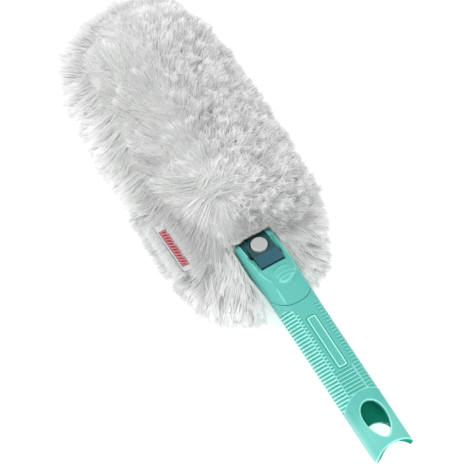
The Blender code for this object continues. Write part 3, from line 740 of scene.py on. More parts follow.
def build_housing():
    cols = 184
    rings, shades = [], []
    widths = [(2.0, EAR_W), (-14.0, EAR_W), (-46.0, GRIP_W), (-80.0, GRIP_W)]
    fronts = [(0.0, EAR_R), (-30.0, 12.9), (-50.0, GRIP_H), (-80.0, GRIP_H)]
    backs = [(0.0, EAR_R), (-24.0, 12.2), (-46.0, GRIP_H), (-80.0, GRIP_H)]
    for deg in (86, 80, 73, 65, 56, 47, 38, 29, 20, 12, 5):
        a = math.radians(deg)
        w = EAR_W - 3.4 * math.sin(a) ** 3
        sx, sz = section(w, EAR_R * math.cos(a), cols, 4.4)
        rings.append(np.stack([sx, np.full(cols, EAR_R * math.sin(a)), sz], -1))
        shades.append(np.zeros(cols))
    cx, cz = section(1.0, 1.0, cols)
    y_end = seam_y(cx * GRIP_W, cz) + GAP / 2
    rows = 150
    for k in range(rows + 1):
        t = k / rows
        y = -1.0 + (y_end + 1.0) * t
        w = smooth_table(widths, y)
        h = np.where(cz > 0, smooth_table(fronts, y), smooth_table(backs, y))
        p = 4.4 - 0.8 * min(1.0, t * 1.5)
        ux, uz = section(1.0, 1.0, cols, p)
        x, z = ux * w, uz * h
        nx, nz = outward(x, z)
        d = housing_relief(x, z, y)
        # painted shade and highlight from housing_shade, with painted shade at the seam end
        shades.append(housing_shade(x, z, y) - 0.5 * np.clip(1 - (y - y_end) / 0.4, 0, 1))
        d = d - 0.42 * np.clip(1 - (y - y_end) / 0.55, 0, 1) ** 1.5
        rings.append(bend(x + nx * d, y, z + nz * d))
    bx, bz = section(14.3, 9.0, cols, 2.6)
    s, c = math.sin(BEND), math.cos(BEND)

    def straight(x, y, z):
        rest = -y - BEND_END
        return np.stack([x, -BEND_START - (BEND_R + z) * s - rest * c,
                         -BEND_R + (BEND_R + z) * c - rest * s], -1)

    rings.append(straight(bx, y_end, bz))
    rings.append(straight(bx, np.full(cols, -27.5), bz))
    ob = rings_object("housing_moulding", rings, TEAL, "fork")
    # the inner rings get painted shade
    set_painted_shading(ob, np.vstack(shades + [np.full((2, cols), -0.8)]))
    tools = []
    room = [(-25.7, 40.0), (-25.7, 8.9), (-12.9, 8.9)]
    a1 = math.asin(9.2 / 12.9)
    for i in range(17):
        a = math.pi + a1 * i / 16
        room.append((12.9 * math.cos(a), 12.9 * math.sin(a)))
    room += [(room[-1][0], -30.0), (30.0, -30.0), (30.0, 40.0)]
    tools.append(tool(prism(room, -10.9, 10.9, "X"), "fork"))
    tools.append(tool(turned([(1.56, -25.0), (1.56, 25.0)], 32, "X"), "fork"))
    for side in (-1, 1):
        rad = 12.6 if side < 0 else 10.3
        tools.append(tool(turned([(rad, side * 9.7), (rad, side * 13.45)], 72, "X"), "fork"))
        if side < 0:
            plan = [(-13.25, 11.0), (-13.25, -8.3), (-13.0, -9.9), (-12.5, -11.3), (-11.7, -12.5),
                    (-10.4, -13.5), (-10.4, 11.0)]
            tools.append(tool(prism(plan, 6.0, 22.0, "Z"), "fork"))
    # hollow between the left ear's lip and the plate, running out at the plate's end
    cove = []
    for y in np.linspace(-9.0, -25.2, 36):
        k = math.sqrt(max(0.0, 1 - (max(0.0, -y - 9.0) / 16.4) ** 2))
        wide, low = 0.3 + 4.3 * k, 0.9 + 2.6 * k
        q = np.linspace(0, np.pi / 2, 10)
        xs, zs = 10.7 + wide * np.cos(q), 13.6 - low * np.sin(q)
        pts = [(-10.7 - wide, 22.0)] + [(-a_, b_) for a_, b_ in zip(xs, zs)]
        pts += [(-9.8, pts[-1][1]), (-9.8, 22.0)]
        cove.append(np.array([(a_, y, b_) for a_, b_ in pts]))
    tools.append(tool(cove, "fork"))
    cut_with(ob, tools, 30.0)
    # painted shade in the hollows beside the plate, on the left side
    co = np.empty(len(ob.data.vertices) * 3)
    ob.data.vertices.foreach_get("co", co)
    q = (co.reshape(-1, 3) / MM - HINGE) @ FORK_R
    inside = (np.abs(q[:, 0]) / 17.1) ** 4.4 + (np.abs(q[:, 2]) / 12.9) ** 4.4
    hollow = step01(0.98, 0.84, inside) * step01(-26.5, -24.0, q[:, 1]) * (q[:, 2] > 8.0)
    hollow = hollow * (q[:, 0] < -9.6)
    at = ob.data.attributes["painted_shading"]
    val = np.empty(len(co) // 3, np.float32)
    at.data.foreach_get("value", val)
    at.data.foreach_set("value", np.clip(val - 0.50 * hollow, -1, 0.6).astype(np.float32))
    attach(ob, "handle")
    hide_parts("joint_housing")
    return ob


def build_hub():
    """Front half of the hub: barrel with button well, raised plate and two flange rings."""
    r = 12.4
    pts = []
    for i in range(33):
        a = math.radians(90 * i / 32)
        pts.append((r * math.cos(a), max(0.15, r * math.sin(a))))
    pts += [(-12.5, r), (-12.9, r + 0.4), (-23.6, r + 0.4), (-24.1, r - 0.1),
            (-24.1, r - 3.2), (-r, r - 3.2), (-r, 0.15)]
    ob = rings_object("hub_moulding", prism(pts, -10.6, 10.6, "X"), [TEAL_DARK, PLATE], "fork")
    tools = [
        tool(turned([(1.56, -20), (1.56, 20)], 32, "X"), "fork"),
        tool(box_rings(-7.3, 7.3, 4.7, 20, -2.5, 2.5), "head"),
        tool(turned([(7.05, 5.7), (7.05, 11.2), (8.2, 12.6), (8.2, 20)], 72, "Z", (0, -3.6)), "fork"),
        tool(box_rings(-15, 15, -4.1, -0.3, 2.3, 8.15), "fork"),
    ]
    for side in (-1, 1):
        tools.append(tool(turned([(1.5, -20), (1.5, 5.4)], 20, "Z", (side * 4.3, 8.7)), "fork"))
    # the short slit in the barrel's far edge
    tools.append(tool(box_rings(-6.4, -4.9, 4.4, 15.0, 7.0, 15.0), "fork"))
    cut_with(ob, tools, 30.0)
    me = ob.data
    if len(me.materials) < 2:
        me.materials.clear()
        me.materials.append(TEAL_DARK)
        me.materials.append(PLATE)
    fork_inv = FORK_R.T
    for poly in me.polygons:
        p = fork_inv @ (np.array(poly.center) / MM - HINGE)
        poly.material_index = 1 if (p[1] < -12.3 and p[2] > 9.0) else 0
    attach(ob, "head")
    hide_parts("hub_front")
    rings = []
    for side, nm in ((-1, "left"), (1, "right")):
        prof = [(10.4, 10.75), (12.25, 10.75), (12.3, 10.85), (12.3, 11.7), (11.7, 11.85),
                (11.7, 12.3), (12.1, 12.4), (12.1, 13.0), (11.95, 13.15), (10.4, 13.15)]
        if side > 0:
            prof = [(rr - 2.25 if rr > 11 else rr - 2.0, hx) for rr, hx in prof]
        ring = [np.stack([np.full(72, side * hx),
                          rr * np.cos(2 * np.pi * (np.arange(72) + 0.4) / 72),
                          rr * np.sin(2 * np.pi * (np.arange(72) + 0.4) / 72)], -1)
                for rr, hx in prof]
        fl = rings_object("hub_flange_" + nm, ring, TEAL_DARK, "fork", closed=True, angle=30.0)
        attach(fl, "head")
        rings.append(fl)
    return ob


build_grip()
build_housing()
build_hub()


# --------------------------------------------------------------------- pile
class Outline:
    """Hem of a pile body: a smooth closed curve, with the crest line that it is scaled towards."""

    def __init__(self, points, near, far):
        pts = np.asarray(points, float)
        n, m = len(pts), 40
        t = (np.arange(m) / m)[None, :, None]
        p0, p1, p2, p3 = (np.roll(pts, k, 0)[:, None] for k in (1, 0, -1, -2))
        c = 0.5 * ((2 * p1) + (p2 - p0) * t + (2 * p0 - 5 * p1 + 4 * p2 - p3) * t ** 2
                   + (3 * p1 - p0 - 3 * p2 + p3) * t ** 3)
        self.hem = c.reshape(-1, 2)
        near, far = np.asarray(near, float), np.asarray(far, float)
        run = far - near
        u = np.clip(((self.hem - near) @ run) / (run @ run), 0, 1)
        self.axis = near + u[:, None] * run
        self.near, self.far = near, far
        self.l0 = np.linalg.norm(np.roll(self.axis, -1, 0) - self.axis, axis=1)
        self.l1 = np.linalg.norm(np.roll(self.hem, -1, 0) - self.hem, axis=1)

    def place(self, rng, rho):
        """Random places on the hem scaled by rho: x, y, outward direction and reach."""
        n, m = len(rho), len(self.hem)
        L0, L1 = self.l0.sum(), self.l1.sum()
        a = rng.uniform(0, 1, n) * ((1 - rho) * L0 + rho * L1) < (1 - rho) * L0
        c0, c1 = np.cumsum(self.l0) / L0, np.cumsum(self.l1) / L1
        r = rng.uniform(0, 1, n)
        i = np.where(a, np.searchsorted(c0, r), np.searchsorted(c1, r)) % m
        f = rng.uniform(0, 1, n)[:, None]
        j = (i + 1) % m
        A = self.axis[i] * (1 - f) + self.axis[j] * f
        C = self.hem[i] * (1 - f) + self.hem[j] * f
        d = C - A
        reach = np.linalg.norm(d, axis=1)
        p = A + d * rho[:, None]
        return p[:, 0], p[:, 1], d[:, 0] / reach, d[:, 1] / reach, reach

    def perimeter(self, rho):
        return (1 - rho) * self.l0.sum() + rho * self.l1.sum()

    def ring(self, share, z, n=150):
        k = (np.arange(n) * len(self.hem)) // n
        p = self.axis[k] + (self.hem[k] - self.axis[k]) * share
        return np.column_stack([p, np.full(n, float(z))])


NEAR_WHORL, FAR_WHORL = np.array([-9.0, 47.0]), np.array([6.0, 178.0])
UPPER = Outline([(-19, 6), (14, 5.5), (44, 4), (63, 22), (73, 54), (77, 92), (79, 135), (79, 175),
                 (74, 212), (56, 242), (26, 255), (-8, 248), (-32, 225), (-42, 192), (-46, 155),
                 (-51, 118), (-52, 86), (-47, 60), (-40, 36), (-31, 15)], NEAR_WHORL, FAR_WHORL)
LOWER = Outline([(0, -50), (36, -40), (58, -15), (72, 20), (80, 60), (81, 105), (83, 160),
                 (81, 212), (67, 257), (29, 273), (-17, 268), (-49, 243), (-61, 200), (-65, 140),
                 (-65.5, 95), (-69.5, 50), (-70, 4), (-60, -28), (-34, -48)], (1, 32), (12, 190))
RISE, RISE_P, RISE_Q, BASE_Z = 33.5, 2.15, 0.76, 3.0


def soft_core(name, outline, profile, replaces, notch=None):
    rings = [outline.ring(share, z) for share, z in profile]
    ob = rings_object(name, rings, UNDER, "head", angle=None)
    if notch is not None:
        w, end = notch
        cut_with(ob, [tool(box_rings(-w, w, -95.0, end, -45.0, 12.0), "head")])
    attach(ob, "cover")
    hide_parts(replaces)
    return ob


soft_core("pile_front_core", UPPER,
          [(0.70, 5.4), (0.79, 6.5), (0.78, 10.5), (0.72, 16.0), (0.62, 21.5), (0.48, 26.0),
           (0.3, 29.2), (0.15, 30.6), (0.04, 31.0)], "pile_front")
soft_core("pile_back_core", LOWER,
          [(0.04, -27.5), (0.60, -27.5), (0.76, -24.5), (0.82, -18.0), (0.80, -11.5),
           (0.72, -7.5), (0.3, -6.6)], "pile_back", notch=(20.2, 16.5))


def hills(x, y, seed, amp):
    """Soft random swelling of the pile, as broad tufts of fibres make it."""
    rng = np.random.default_rng(seed)
    out = np.zeros_like(x)
    for wave in (58.0, 44.0, 33.0, 26.0, 21.0, 17.0):
        a, ph = rng.uniform(0, 2 * np.pi, 2)
        k = 2 * np.pi / wave
        out += wave / 58.0 * np.sin(k * (x * np.cos(a) + y * np.sin(a)) + ph)
    return amp * out / 1.7


def strands(name, P, width, up, tone, tip_highlight, root_shade, rng, twist=0.4):
    """Flat tapering fibres. P is (fibre, point, xyz); up is a rough outward normal per fibre."""
    n, k = P.shape[:2]
    T = np.gradient(P, axis=1)
    T /= np.linalg.norm(T, axis=2, keepdims=True) + 1e-9
    ang = rng.normal(0, twist, n)[:, None, None]
    S0 = np.cross(T, up[:, None, :])
    S0 /= np.linalg.norm(S0, axis=2, keepdims=True) + 1e-9
    N0 = np.cross(S0, T)
    S = S0 * np.cos(ang) + N0 * np.sin(ang)
    t = np.linspace(0, 1, k)
    prof = np.interp(t, [0, 0.15, 0.85, 1.0], [0.8, 1.0, 0.9, 0.4])
    w = 0.5 * width[:, None, None] * prof[None, :, None]
    V = np.stack([P - S * w, P + S * w], 2).reshape(n * k * 2, 3)
    base = (np.arange(n) * k * 2)[:, None] + (np.arange(k - 1) * 2)[None]
    F = np.stack([base, base + 1, base + 3, base + 2], -1).reshape(-1, 4)
    ob = new_object(name, V, F, FIBRE, "head", smooth=True, angle=None)
    me = ob.data
    # tone: per-fibre tone with painted shade towards the root and painted highlight towards the tip
    at = me.attributes.new("tone", "FLOAT", "POINT")
    root = np.interp(t, [0, 0.7], [1.0, 0.0])
    tip = np.interp(t, [0.72, 1.0], [0.0, 1.0])
    vals = tone[:, None] - root_shade[:, None] * root[None] + tip_highlight[:, None] * tip[None]
    vals = vals[:, :, None].repeat(2, 2).ravel()
    at.data.foreach_set("value", np.clip(vals, 0, 1).astype(np.float32))
    side = int(math.ceil(math.sqrt(n)))
    uv = me.uv_layers.new(name="OFBake")
    cell = 1.0 / side
    ci, cj = (np.arange(n) % side) * cell, (np.arange(n) // side) * cell
    lo, hi = 0.12 * cell, 0.88 * cell
    v0 = lo + (hi - lo) * t[:-1]
    v1 = lo + (hi - lo) * t[1:]
    U = np.zeros((n, k - 1, 4, 2))
    for q, (uu, vv) in enumerate(((lo, v0), (hi, v0), (hi, v1), (lo, v1))):
        U[:, :, q, 0] = ci[:, None] + uu
        U[:, :, q, 1] = cj[:, None] + vv[None]
    uv.data.foreach_set("uv", U.astype(np.float32).ravel())
    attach(ob, "cover")
    return ob


def unit(v):
    return v / (np.linalg.norm(v, axis=-1, keepdims=True) + 1e-9)


def turn_flat(D, yaw):
    c, s = np.cos(yaw), np.sin(yaw)
    return np.stack([D[:, 0] * c - D[:, 1] * s, D[:, 0] * s + D[:, 1] * c, D[:, 2]], -1)


def nearest(Q, C):
    """Index of the nearest centre for every point."""
    from mathutils.kdtree import KDTree

    tree = KDTree(len(C))
    for i, c in enumerate(C.tolist()):
        tree.insert(c, i)
    tree.balance()
    find = tree.find
    return np.array([find(q)[1] for q in Q.tolist()])


class Tufts:
    """Two sizes of tuft over a set of fibre tips: broad soft ones, and small pointed ones."""

    def __init__(self, Q, rng, broad, small):
        self.n = len(Q)
        mb, ms = max(6, self.n // broad), max(8, self.n // small)
        self.Cs = Q[rng.choice(self.n, ms, replace=False)]
        self.small = nearest(Q, self.Cs)
        Cb = Q[rng.choice(self.n, mb, replace=False)]
        self.broad = nearest(self.Cs, Cb)[self.small]
        self.mb, self.ms, self.rng = mb, ms, rng

    def b(self, lo, hi):
        return self.rng.uniform(lo, hi, self.mb)[self.broad]

    def bn(self, sd):
        return self.rng.normal(0, sd, self.mb)[self.broad]

    def s(self, lo, hi):
        return self.rng.uniform(lo, hi, self.ms)[self.small]

    def sn(self, sd):
        return self.rng.normal(0, sd, self.ms)[self.small]

    def u(self, lo, hi):
        return self.rng.uniform(lo, hi, self.n)

    def un(self, sd):
        return self.rng.normal(0, sd, self.n)


def comb(Q, N, D, length, lay, tf, pull, curl, tip_curl, k=8, hook=None):
    """Fibres whose tips gather at their tuft. Each comes up out of the pile, lies over along D
    and ends in a loose bend."""
    t = np.linspace(0, 1, k)[None, :, None]
    L = length[:, None, None]
    b = (L * np.sin(lay)[:, None, None]) * (1 - t) ** 1.7
    a = (L * np.cos(lay)[:, None, None]) * (1 - t)
    P = Q[:, None, :] - D[:, None, :] * a - N[:, None, :] * b
    shift = ((tf.Cs[tf.small] - Q) * pull[:, None])[:, None, :]
    P = P + shift * t ** 2
    side = unit(np.cross(N, D))[:, None, :]
    P = P + side * (tf.un(curl)[:, None, None] * np.sin(np.pi * 0.5 * t) ** 2)
    P = P + side * (tf.un(curl * 0.4)[:, None, None] * np.sin(2 * np.pi * t + tf.u(0, 6)[:, None, None]))
    end = np.clip((t - 0.7) / 0.3, 0, 1) ** 2
    P = P + N[:, None, :] * (np.abs(tf.un(1.0)) * tip_curl)[:, None, None] * end
    P = P + side * (tf.un(1.0) * tip_curl)[:, None, None] * end
    if hook is not None:
        bow = np.clip((t - 0.55) / 0.45, 0, 1)
        a = hook * tf.u(0.6, 1.4)
        b = hook * tf.un(0.5)
        P = P + N[:, None] * (a[:, None, None] * np.sin(bow * 2.2)) * (bow > 0)
        P = P - D[:, None] * (1.5 * a[:, None, None] * bow ** 2.2)
        P = P + side * (b[:, None, None] * bow)
    return P


def clear_channel(P):
    """Keeps fibres out of the space that the handle swings through."""
    ch = (P[:, :, 1] < 16.6) & (np.abs(P[:, :, 0]) < 19.0)
    across = (ch & (np.abs(P[:, :, 0]) < 12.5)).any(1)[:, None]
    side = np.where(P[:, -1:, 0] < 0, -1.0, 1.0) * (19.0 + 1.6 * np.abs(np.sin(7.3 * P[:, :1, 0])))
    P[:, :, 0] = np.where(ch & ~across, side, P[:, :, 0])
    move = across & (P[:, :, 1] < 16.6) & (np.abs(P[:, :, 0]) < 25.0)
    P[:, :, 1] = np.where(move, 16.6 + 0.01 * (P[:, :, 1] - 16.6), P[:, :, 1])
    return P


LABEL_X, LABEL_Y, LABEL_Z = (-60.2, -50.5), (11.0, 58.0), 5.6


def under_label(P, over=None):
    """Fibres pass under the label, not through it; those marked over lie on its inner margin."""
    x, y = P[:, :, 0], P[:, :, 1]
    along = (y > LABEL_Y[0] - 0.8) & (y < LABEL_Y[1] + 0.8)
    on = (x > LABEL_X[0] - 0.4) & (x < LABEL_X[1] + 0.6) & along
    low = np.minimum(P[:, :, 2], LABEL_Z - 1.9)
    if over is None:
        P[:, :, 2] = np.where(on, low, P[:, :, 2])
        return P
    margin = (x > PATCH_X[1] + 0.4) & (x < LABEL_X[1] + 2.0) & along & over[:, None]
    P[:, :, 2] = np.where(on & ~margin, low, P[:, :, 2])
    P[:, :, 2] = np.where(margin, np.maximum(P[:, :, 2], LABEL_Z + 1.0), P[:, :, 2])
    return P


def within(P):
    """Bends the ends of stray fibres back, so that none stands far out of the head."""
    for axis, start, end in ((0, 82.5, 86.8), (1, 273.0, 279.0), (2, 45.0, 48.5)):
        over, room = np.maximum(P[:, :, axis] - start, 0.0), end - start
        P[:, :, axis] = np.where(over > 0, start + room * (1 - np.exp(-over / room)), P[:, :, axis])
    return P


def in_pieces(name, P, width, N, tone, tip_highlight, rng, most, twist=0.4, root_shade=None):
    P = within(P)
    n = len(P)
    # by default every fibre gets some painted shade at its root
    root_shade = np.full(n, 0.14) if root_shade is None else root_shade
    parts = max(1, math.ceil(n / most))
    for i in range(parts):
        sl = slice(i * n // parts, (i + 1) * n // parts)
        strands("%s_%d" % (name, i + 1), P[sl], width[sl], N[sl], tone[sl], tip_highlight[sl],
                root_shade[sl], rng, twist)


def upper_flow(x, y):
    """Comb direction on the upper pile, away from the crest and the near whorl, and how far
    along the flow each point lies."""
    ax = unit(FAR_WHORL - NEAR_WHORL)
    along = (x - NEAR_WHORL[0]) * ax[0] + (y - NEAR_WHORL[1]) * ax[1]
    side = (x - NEAR_WHORL[0]) * ax[1] - (y - NEAR_WHORL[1]) * ax[0]
    total = np.linalg.norm(FAR_WHORL - NEAR_WHORL)
    back = np.where(side < 0, 42.0, 34.0) * np.clip(along / 55.0, 0, 1)
    s = np.clip(np.clip(along, 0, total) - back, 0, total)
    dx, dy = x - (NEAR_WHORL[0] + ax[0] * s), y - (NEAR_WHORL[1] + ax[1] * s)
    dist = np.hypot(dx, dy)
    return unit(np.stack([dx, dy, np.zeros_like(dx)], -1)), dist + 0.35 * s


def layers(dist, x, y, seed, pitch):
    """Overlapping rows of tufts: rises along the flow, then drops to the next row."""
    ph = dist / pitch + hills(x, y, seed, 0.55)
    f = ph - np.floor(ph)
    return f, np.where(f < 0.86, f / 0.86, (1 - f) / 0.14)


def make_upper():
    rng = np.random.default_rng(11)
    count = 56000
    # fibre tips spread evenly over the domed surface
    r = np.linspace(0.002, 0.998, 600)
    mean = 60.0
    slope = RISE * RISE_Q * (1 - r ** RISE_P) ** (RISE_Q - 1) * RISE_P * r ** (RISE_P - 1) / mean
    weight = np.sqrt(1 + slope ** 2) * UPPER.perimeter(r)
    cdf = np.cumsum(weight)
    rho = np.interp(rng.uniform(0, cdf[-1], count), cdf, r)
    x, y, ox, oy, reach = UPPER.place(rng, rho)
    g = RISE * RISE_Q * (1 - rho ** RISE_P) ** (RISE_Q - 1) * RISE_P * rho ** (RISE_P - 1) / reach
    g = np.minimum(g, 1.5 - 0.75 * np.clip((rho - 0.82) / 0.18, 0, 1))
    z = BASE_Z + RISE * (1 - rho ** RISE_P) ** RISE_Q
    nz = 1 / np.sqrt(1 + g * g)
    N = np.stack([ox * g * nz, oy * g * nz, nz], -1)
    Q = np.stack([x, y, z], -1)
    right = step01(-4, 30, x - (NEAR_WHORL[0] + (y - 47) * 0.1145))
    D, dist = upper_flow(x, y)
    f, rise = layers(dist, x, y, 5, 27.0)
    calm = np.clip(dist / 24.0, 0, 1)
    Q = Q + N * ((rise - 0.5) * (1.2 + 2.2 * right) * calm + hills(x, y, 6, 1.1))[:, None]
    tf = Tufts(Q, rng, 420, 32)
    yaw = tf.bn(0.13) + tf.sn(1.0) * (0.06 + 0.16 * right * calm) + tf.un(0.08)
    D = turn_flat(D, yaw)
    down = np.clip((rho - 0.84) / 0.16, 0, 1)
    D = unit(D + np.stack([0 * x, 0 * x, -0.35 * down], -1))
    D = unit(D - N * (D * N).sum(1)[:, None])
    lump = right * calm
    Q = Q + N * (tf.bn(0.8) + tf.sn(1.0) * (0.3 + 0.85 * lump) + tf.un(0.35))[:, None]
    hem = np.clip((rho - 0.80) / 0.20, 0, 1)
    Q = Q + D * ((tf.sn(2.2) + tf.un(1.0)) * hem)[:, None]
    # over the fork the tips stop raggedly, so the joint shows
    stop = 8.9 + tf.s(-0.9, 0.9) + tf.u(-0.8, 0.8) - 2.6 * step01(-7.0, -12.0, Q[:, 0]) * tf.s(0.2, 1.3)
    over = (np.abs(Q[:, 0] + 0.5) < 17.5) & (Q[:, 1] < stop)
    Q[:, 1] = np.where(over, stop, Q[:, 1])
    loose = tf.u(0, 1) < 0.22
    pull = np.where(loose, 0.05, (0.20 + 0.38 * lump) * tf.s(0.5, 1.25))
    length = tf.b(26, 36) * tf.u(0.85, 1.12)
    lay = np.radians(np.clip(tf.b(16, 26) + 20 * lump + tf.sn(4) + tf.un(3), 8, 58))
    tip_curl = (0.5 + 1.5 * lump) * np.where(loose, 1.3, 1.0)
    knot = (tf.s(0, 1) < 0.24 * lump) & ~loose & (rho < 0.93)
    pull = np.where(knot, 0.78, pull)
    hook = np.where(knot, tf.s(1.6, 3.2), 0.0)
    P = comb(Q, N, D, length, lay, tf, pull, 1.1, tip_curl, k=10, hook=hook)
    P[:, :, 2] = np.maximum(P[:, :, 2], -1.0)
    P[:, :, 1] = np.where((np.abs(P[:, :, 0]) < 16.5) & (P[:, :, 1] < stop[:, None]),
                          stop[:, None] + 0.12 * (P[:, :, 1] - stop[:, None]), P[:, :, 1])
    P = under_label(P, tf.u(0, 1) < 0.8)
    near = (P[:, :, 1] < 15.5) & (np.abs(P[:, :, 0]) < 17.0)
    P[:, :, 2] = np.where(near, np.maximum(P[:, :, 2], 13.7), P[:, :, 2])
    # painted light on the upper pile: lighter towards the hem (less so on the right), at the near whorl and over the
    # far end; painted shade over the right's clumps and a painted shadow round the neck over the fork
    rim_light = step01(0.55, 1.0, rho)
    whorl = np.exp(-((x - NEAR_WHORL[0]) ** 2 + (y - NEAR_WHORL[1]) ** 2) / 32.0 ** 2)
    tone = 0.42 + 0.08 * rim_light * (1 - 0.9 * right) - 0.07 * lump + 0.26 * whorl
    tone = tone - 0.26 * np.exp(-(x ** 2 + (y - 9.0) ** 2) / 17.0 ** 2)
    tone = tone + 0.17 * step01(165, 235, y) + tf.un(0.06) + tf.sn(0.03) + tf.bn(0.02)
    # painted highlight on the crest of each row and on the tips of some tufts, most among the clumps
    crest = step01(0.35, 0.75, f) * lump
    tips = np.where(tf.s(0, 1) < 0.12 + 0.40 * lump + 0.25 * crest, 0.50, 0.06) * tf.u(0.4, 1.2)
    tips = np.where(knot, 0.62, tips)
    tone = tone + 0.05 * crest
    # painted shade at the roots, deeper among the clumps
    in_pieces("pile_front_fibres", P, tf.u(0.28, 0.50), N, tone, tips, rng, 10900,
              root_shade=0.05 + 0.13 * lump)
    # loose bright threads that curl over the surface
    pick = rng.choice(count, 1500, replace=False)
    pick = pick[(rng.uniform(0, 1, 1500) < 0.04 + 0.62 * lump[pick]) & (Q[pick, 1] > 20)]
    loose_threads("pile_front_threads", Q[pick], N[pick], D[pick], rng)
    make_fringe()
    make_neck()
    make_label_fringe()


def laid(name, Q, D, L, z1, rng, tone, width=(0.28, 0.46), k=8):
    """Fibres that lie out along D from Q and come down to z1 at their tips."""
    n = len(Q)
    t = np.linspace(0, 1, k)[None]
    side = np.stack([-D[:, 1], D[:, 0], np.zeros(n)], -1)
    P = Q[:, None] + D[:, None] * (L[:, None] * t)[..., None]
    P[:, :, 2] = Q[:, 2:3] + (z1 - Q[:, 2])[:, None] * np.clip(1.4 * t, 0, 1) ** 1.2
    P[:, :, 2] += rng.uniform(0.1, 0.9, n)[:, None] * np.sin(np.pi * t)
    P = P + side[:, None] * (rng.normal(0, 0.8, n)[:, None] * np.sin(np.pi * 0.5 * t) ** 2
                             + rng.normal(0, 0.5, n)[:, None] * np.clip((t - 0.7) / 0.3, 0, 1) ** 2)[..., None]
    # slight painted highlight at the tips and the default painted shade at the roots
    in_pieces(name, P, rng.uniform(width[0], width[1], n), np.tile([0.0, 0.0, 1.0], (n, 1)),
              tone, np.full(n, 0.12), rng, 9000)


def make_neck():
    """Fibres that close the gap between the pile and the joint."""
    rng = np.random.default_rng(61)
    n = 2300
    x = rng.uniform(-16.5, 18.5, n)
    y = rng.uniform(16.0, 24.0, n)
    z = 15.0 + 0.25 * (y - 16.0) + rng.uniform(-0.8, 1.4, n)
    D = turn_flat(np.tile([0.0, -1.0, 0.0], (n, 1)), 0.012 * x + rng.normal(0, 0.12, n))
    stop = 8.8 + rng.uniform(-1.2, 1.6, n) + hills(x * 4, x * 0, 8, 0.5)
    low = (rng.uniform(0, 1, n) < 0.5) & (np.abs(x) > 10.0)
    stop = np.where(low, rng.uniform(8.9, 10.0, n), stop)
    tip = np.where(low, 11.4, 13.8) + rng.uniform(0, 0.5, n)
    # darker tone than the pile round it: painted shade under the overhanging pile
    laid("pile_front_neck", np.stack([x, y, z], -1), D, y - stop, tip, rng,
         0.30 + rng.normal(0, 0.06, n))


def make_label_fringe():
    """Fibres of the upper hem that lie over the label's inner margin and its far end."""
    rng = np.random.default_rng(67)
    n = 1300
    x, y = rng.uniform(-47.0, -42.0, n), rng.uniform(4.0, 70.0, n)
    D = turn_flat(np.tile([-1.0, 0.0, 0.0], (n, 1)), 0.20 + rng.normal(0, 0.22, n)
                  + 0.7 * step01(55.0, 66.0, y))
    reach = np.where(rng.uniform(0, 1, n) < 0.06, -55.0, -51.6) + rng.uniform(-1.0, 1.6, n)
    reach = np.where((y > 61.0) | (y < 10.0), -56.0 + rng.uniform(-4.0, 3.0, n), reach)
    laid("pile_side_fringe", np.stack([x, y, rng.uniform(8.5, 11.0, n)], -1), D, x - reach,
         7.0 + rng.uniform(0, 0.5, n), rng, 0.46 + rng.normal(0, 0.06, n))
    # fibres of the lower pile that come out level from under the label's fold
    n = 900
    x, y = rng.uniform(-59.4, -57.0, n), rng.uniform(9.0, 60.0, n)
    D = turn_flat(np.tile([-1.0, 0.0, 0.0], (n, 1)), -0.10 + rng.normal(0, 0.20, n))
    z = np.full(n, LABEL_Z - 2.3) + rng.uniform(-0.5, 0.2, n)
    t = np.linspace(0, 1, 8)[None]
    L = rng.uniform(5.0, 12.0, n)
    P = np.stack([x, y, z], -1)[:, None] + D[:, None] * (L[:, None] * t)[..., None]
    P[:, :, 2] += 1.5 * np.sin(np.pi * t) * np.clip(t * 2, 0, 1) - rng.uniform(0.2, 1.8, n)[:, None] * t ** 2
    P = under_label(P)
    # slight painted highlight at the tips and the default painted shade at the roots
    in_pieces("pile_label_fringe", P, rng.uniform(0.28, 0.46, n), np.tile([0.0, 0.0, 1.0], (n, 1)),
              0.56 + rng.normal(0, 0.06, n), np.full(n, 0.15), rng, 9000)


def make_fringe():
    """Fans of fibre that come out from under the upper hem and lie over the lower pile."""
    rng = np.random.default_rng(51)
    n0 = 12000
    rho = rng.uniform(0.78, 1.0, n0)
    x, y, ox, oy, reach = UPPER.place(rng, rho)
    clear = (x < -36.0) & (y > 0.0) & (y < 60.0)
    ok = (ox < 0.45) & ~clear & ~((y < 26.0) & (x > -26.0))
    x, y, ox, oy, rho = x[ok], y[ok], ox[ok], oy[ok], rho[ok]
    n = len(x)
    z0 = BASE_Z + RISE * (1 - rho ** RISE_P) ** RISE_Q - 1.5
    tf = Tufts(np.stack([x, y, z0], -1), rng, 300, 42)
    D = turn_flat(np.stack([ox, oy, 0 * ox], -1), tf.bn(0.22) + tf.sn(0.22) + tf.un(0.12))
    L = tf.s(9, 27) * tf.u(0.7, 1.1)
    z1 = 1.6 + tf.s(0.0, 3.0) + tf.u(-0.6, 0.8)
    k = 9
    t = np.linspace(0, 1, k)[None]
    side = np.stack([-D[:, 1], D[:, 0], 0 * ox], -1)
    P = np.stack([x, y, z0], -1)[:, None] + D[:, None] * (L[:, None] * t)[..., None]
    P[:, :, 2] = z0[:, None] + (z1 - z0)[:, None] * np.clip(1.5 * t, 0, 1) ** 1.2
    P[:, :, 2] += tf.u(0.2, 1.6)[:, None] * np.sin(np.pi * t)
    P = P + side[:, None] * (tf.un(0.9)[:, None] * np.sin(np.pi * 0.5 * t) ** 2
                             + tf.un(0.7)[:, None] * np.clip((t - 0.7) / 0.3, 0, 1) ** 2)[..., None]
    P = under_label(P)
    # painted light: lighter towards the far end; painted highlight on the tips of half the tufts
    tone = 0.54 + 0.16 * step01(60, 170, y) + tf.un(0.06) + tf.sn(0.05)
    tips = np.where(tf.s(0, 1) < 0.5, 0.40, 0.10) * tf.u(0.5, 1.2)
    in_pieces("pile_front_fringe", P, tf.u(0.28, 0.46), np.tile([0.0, 0.0, 1.0], (n, 1)), tone, tips,
              rng, 9000)


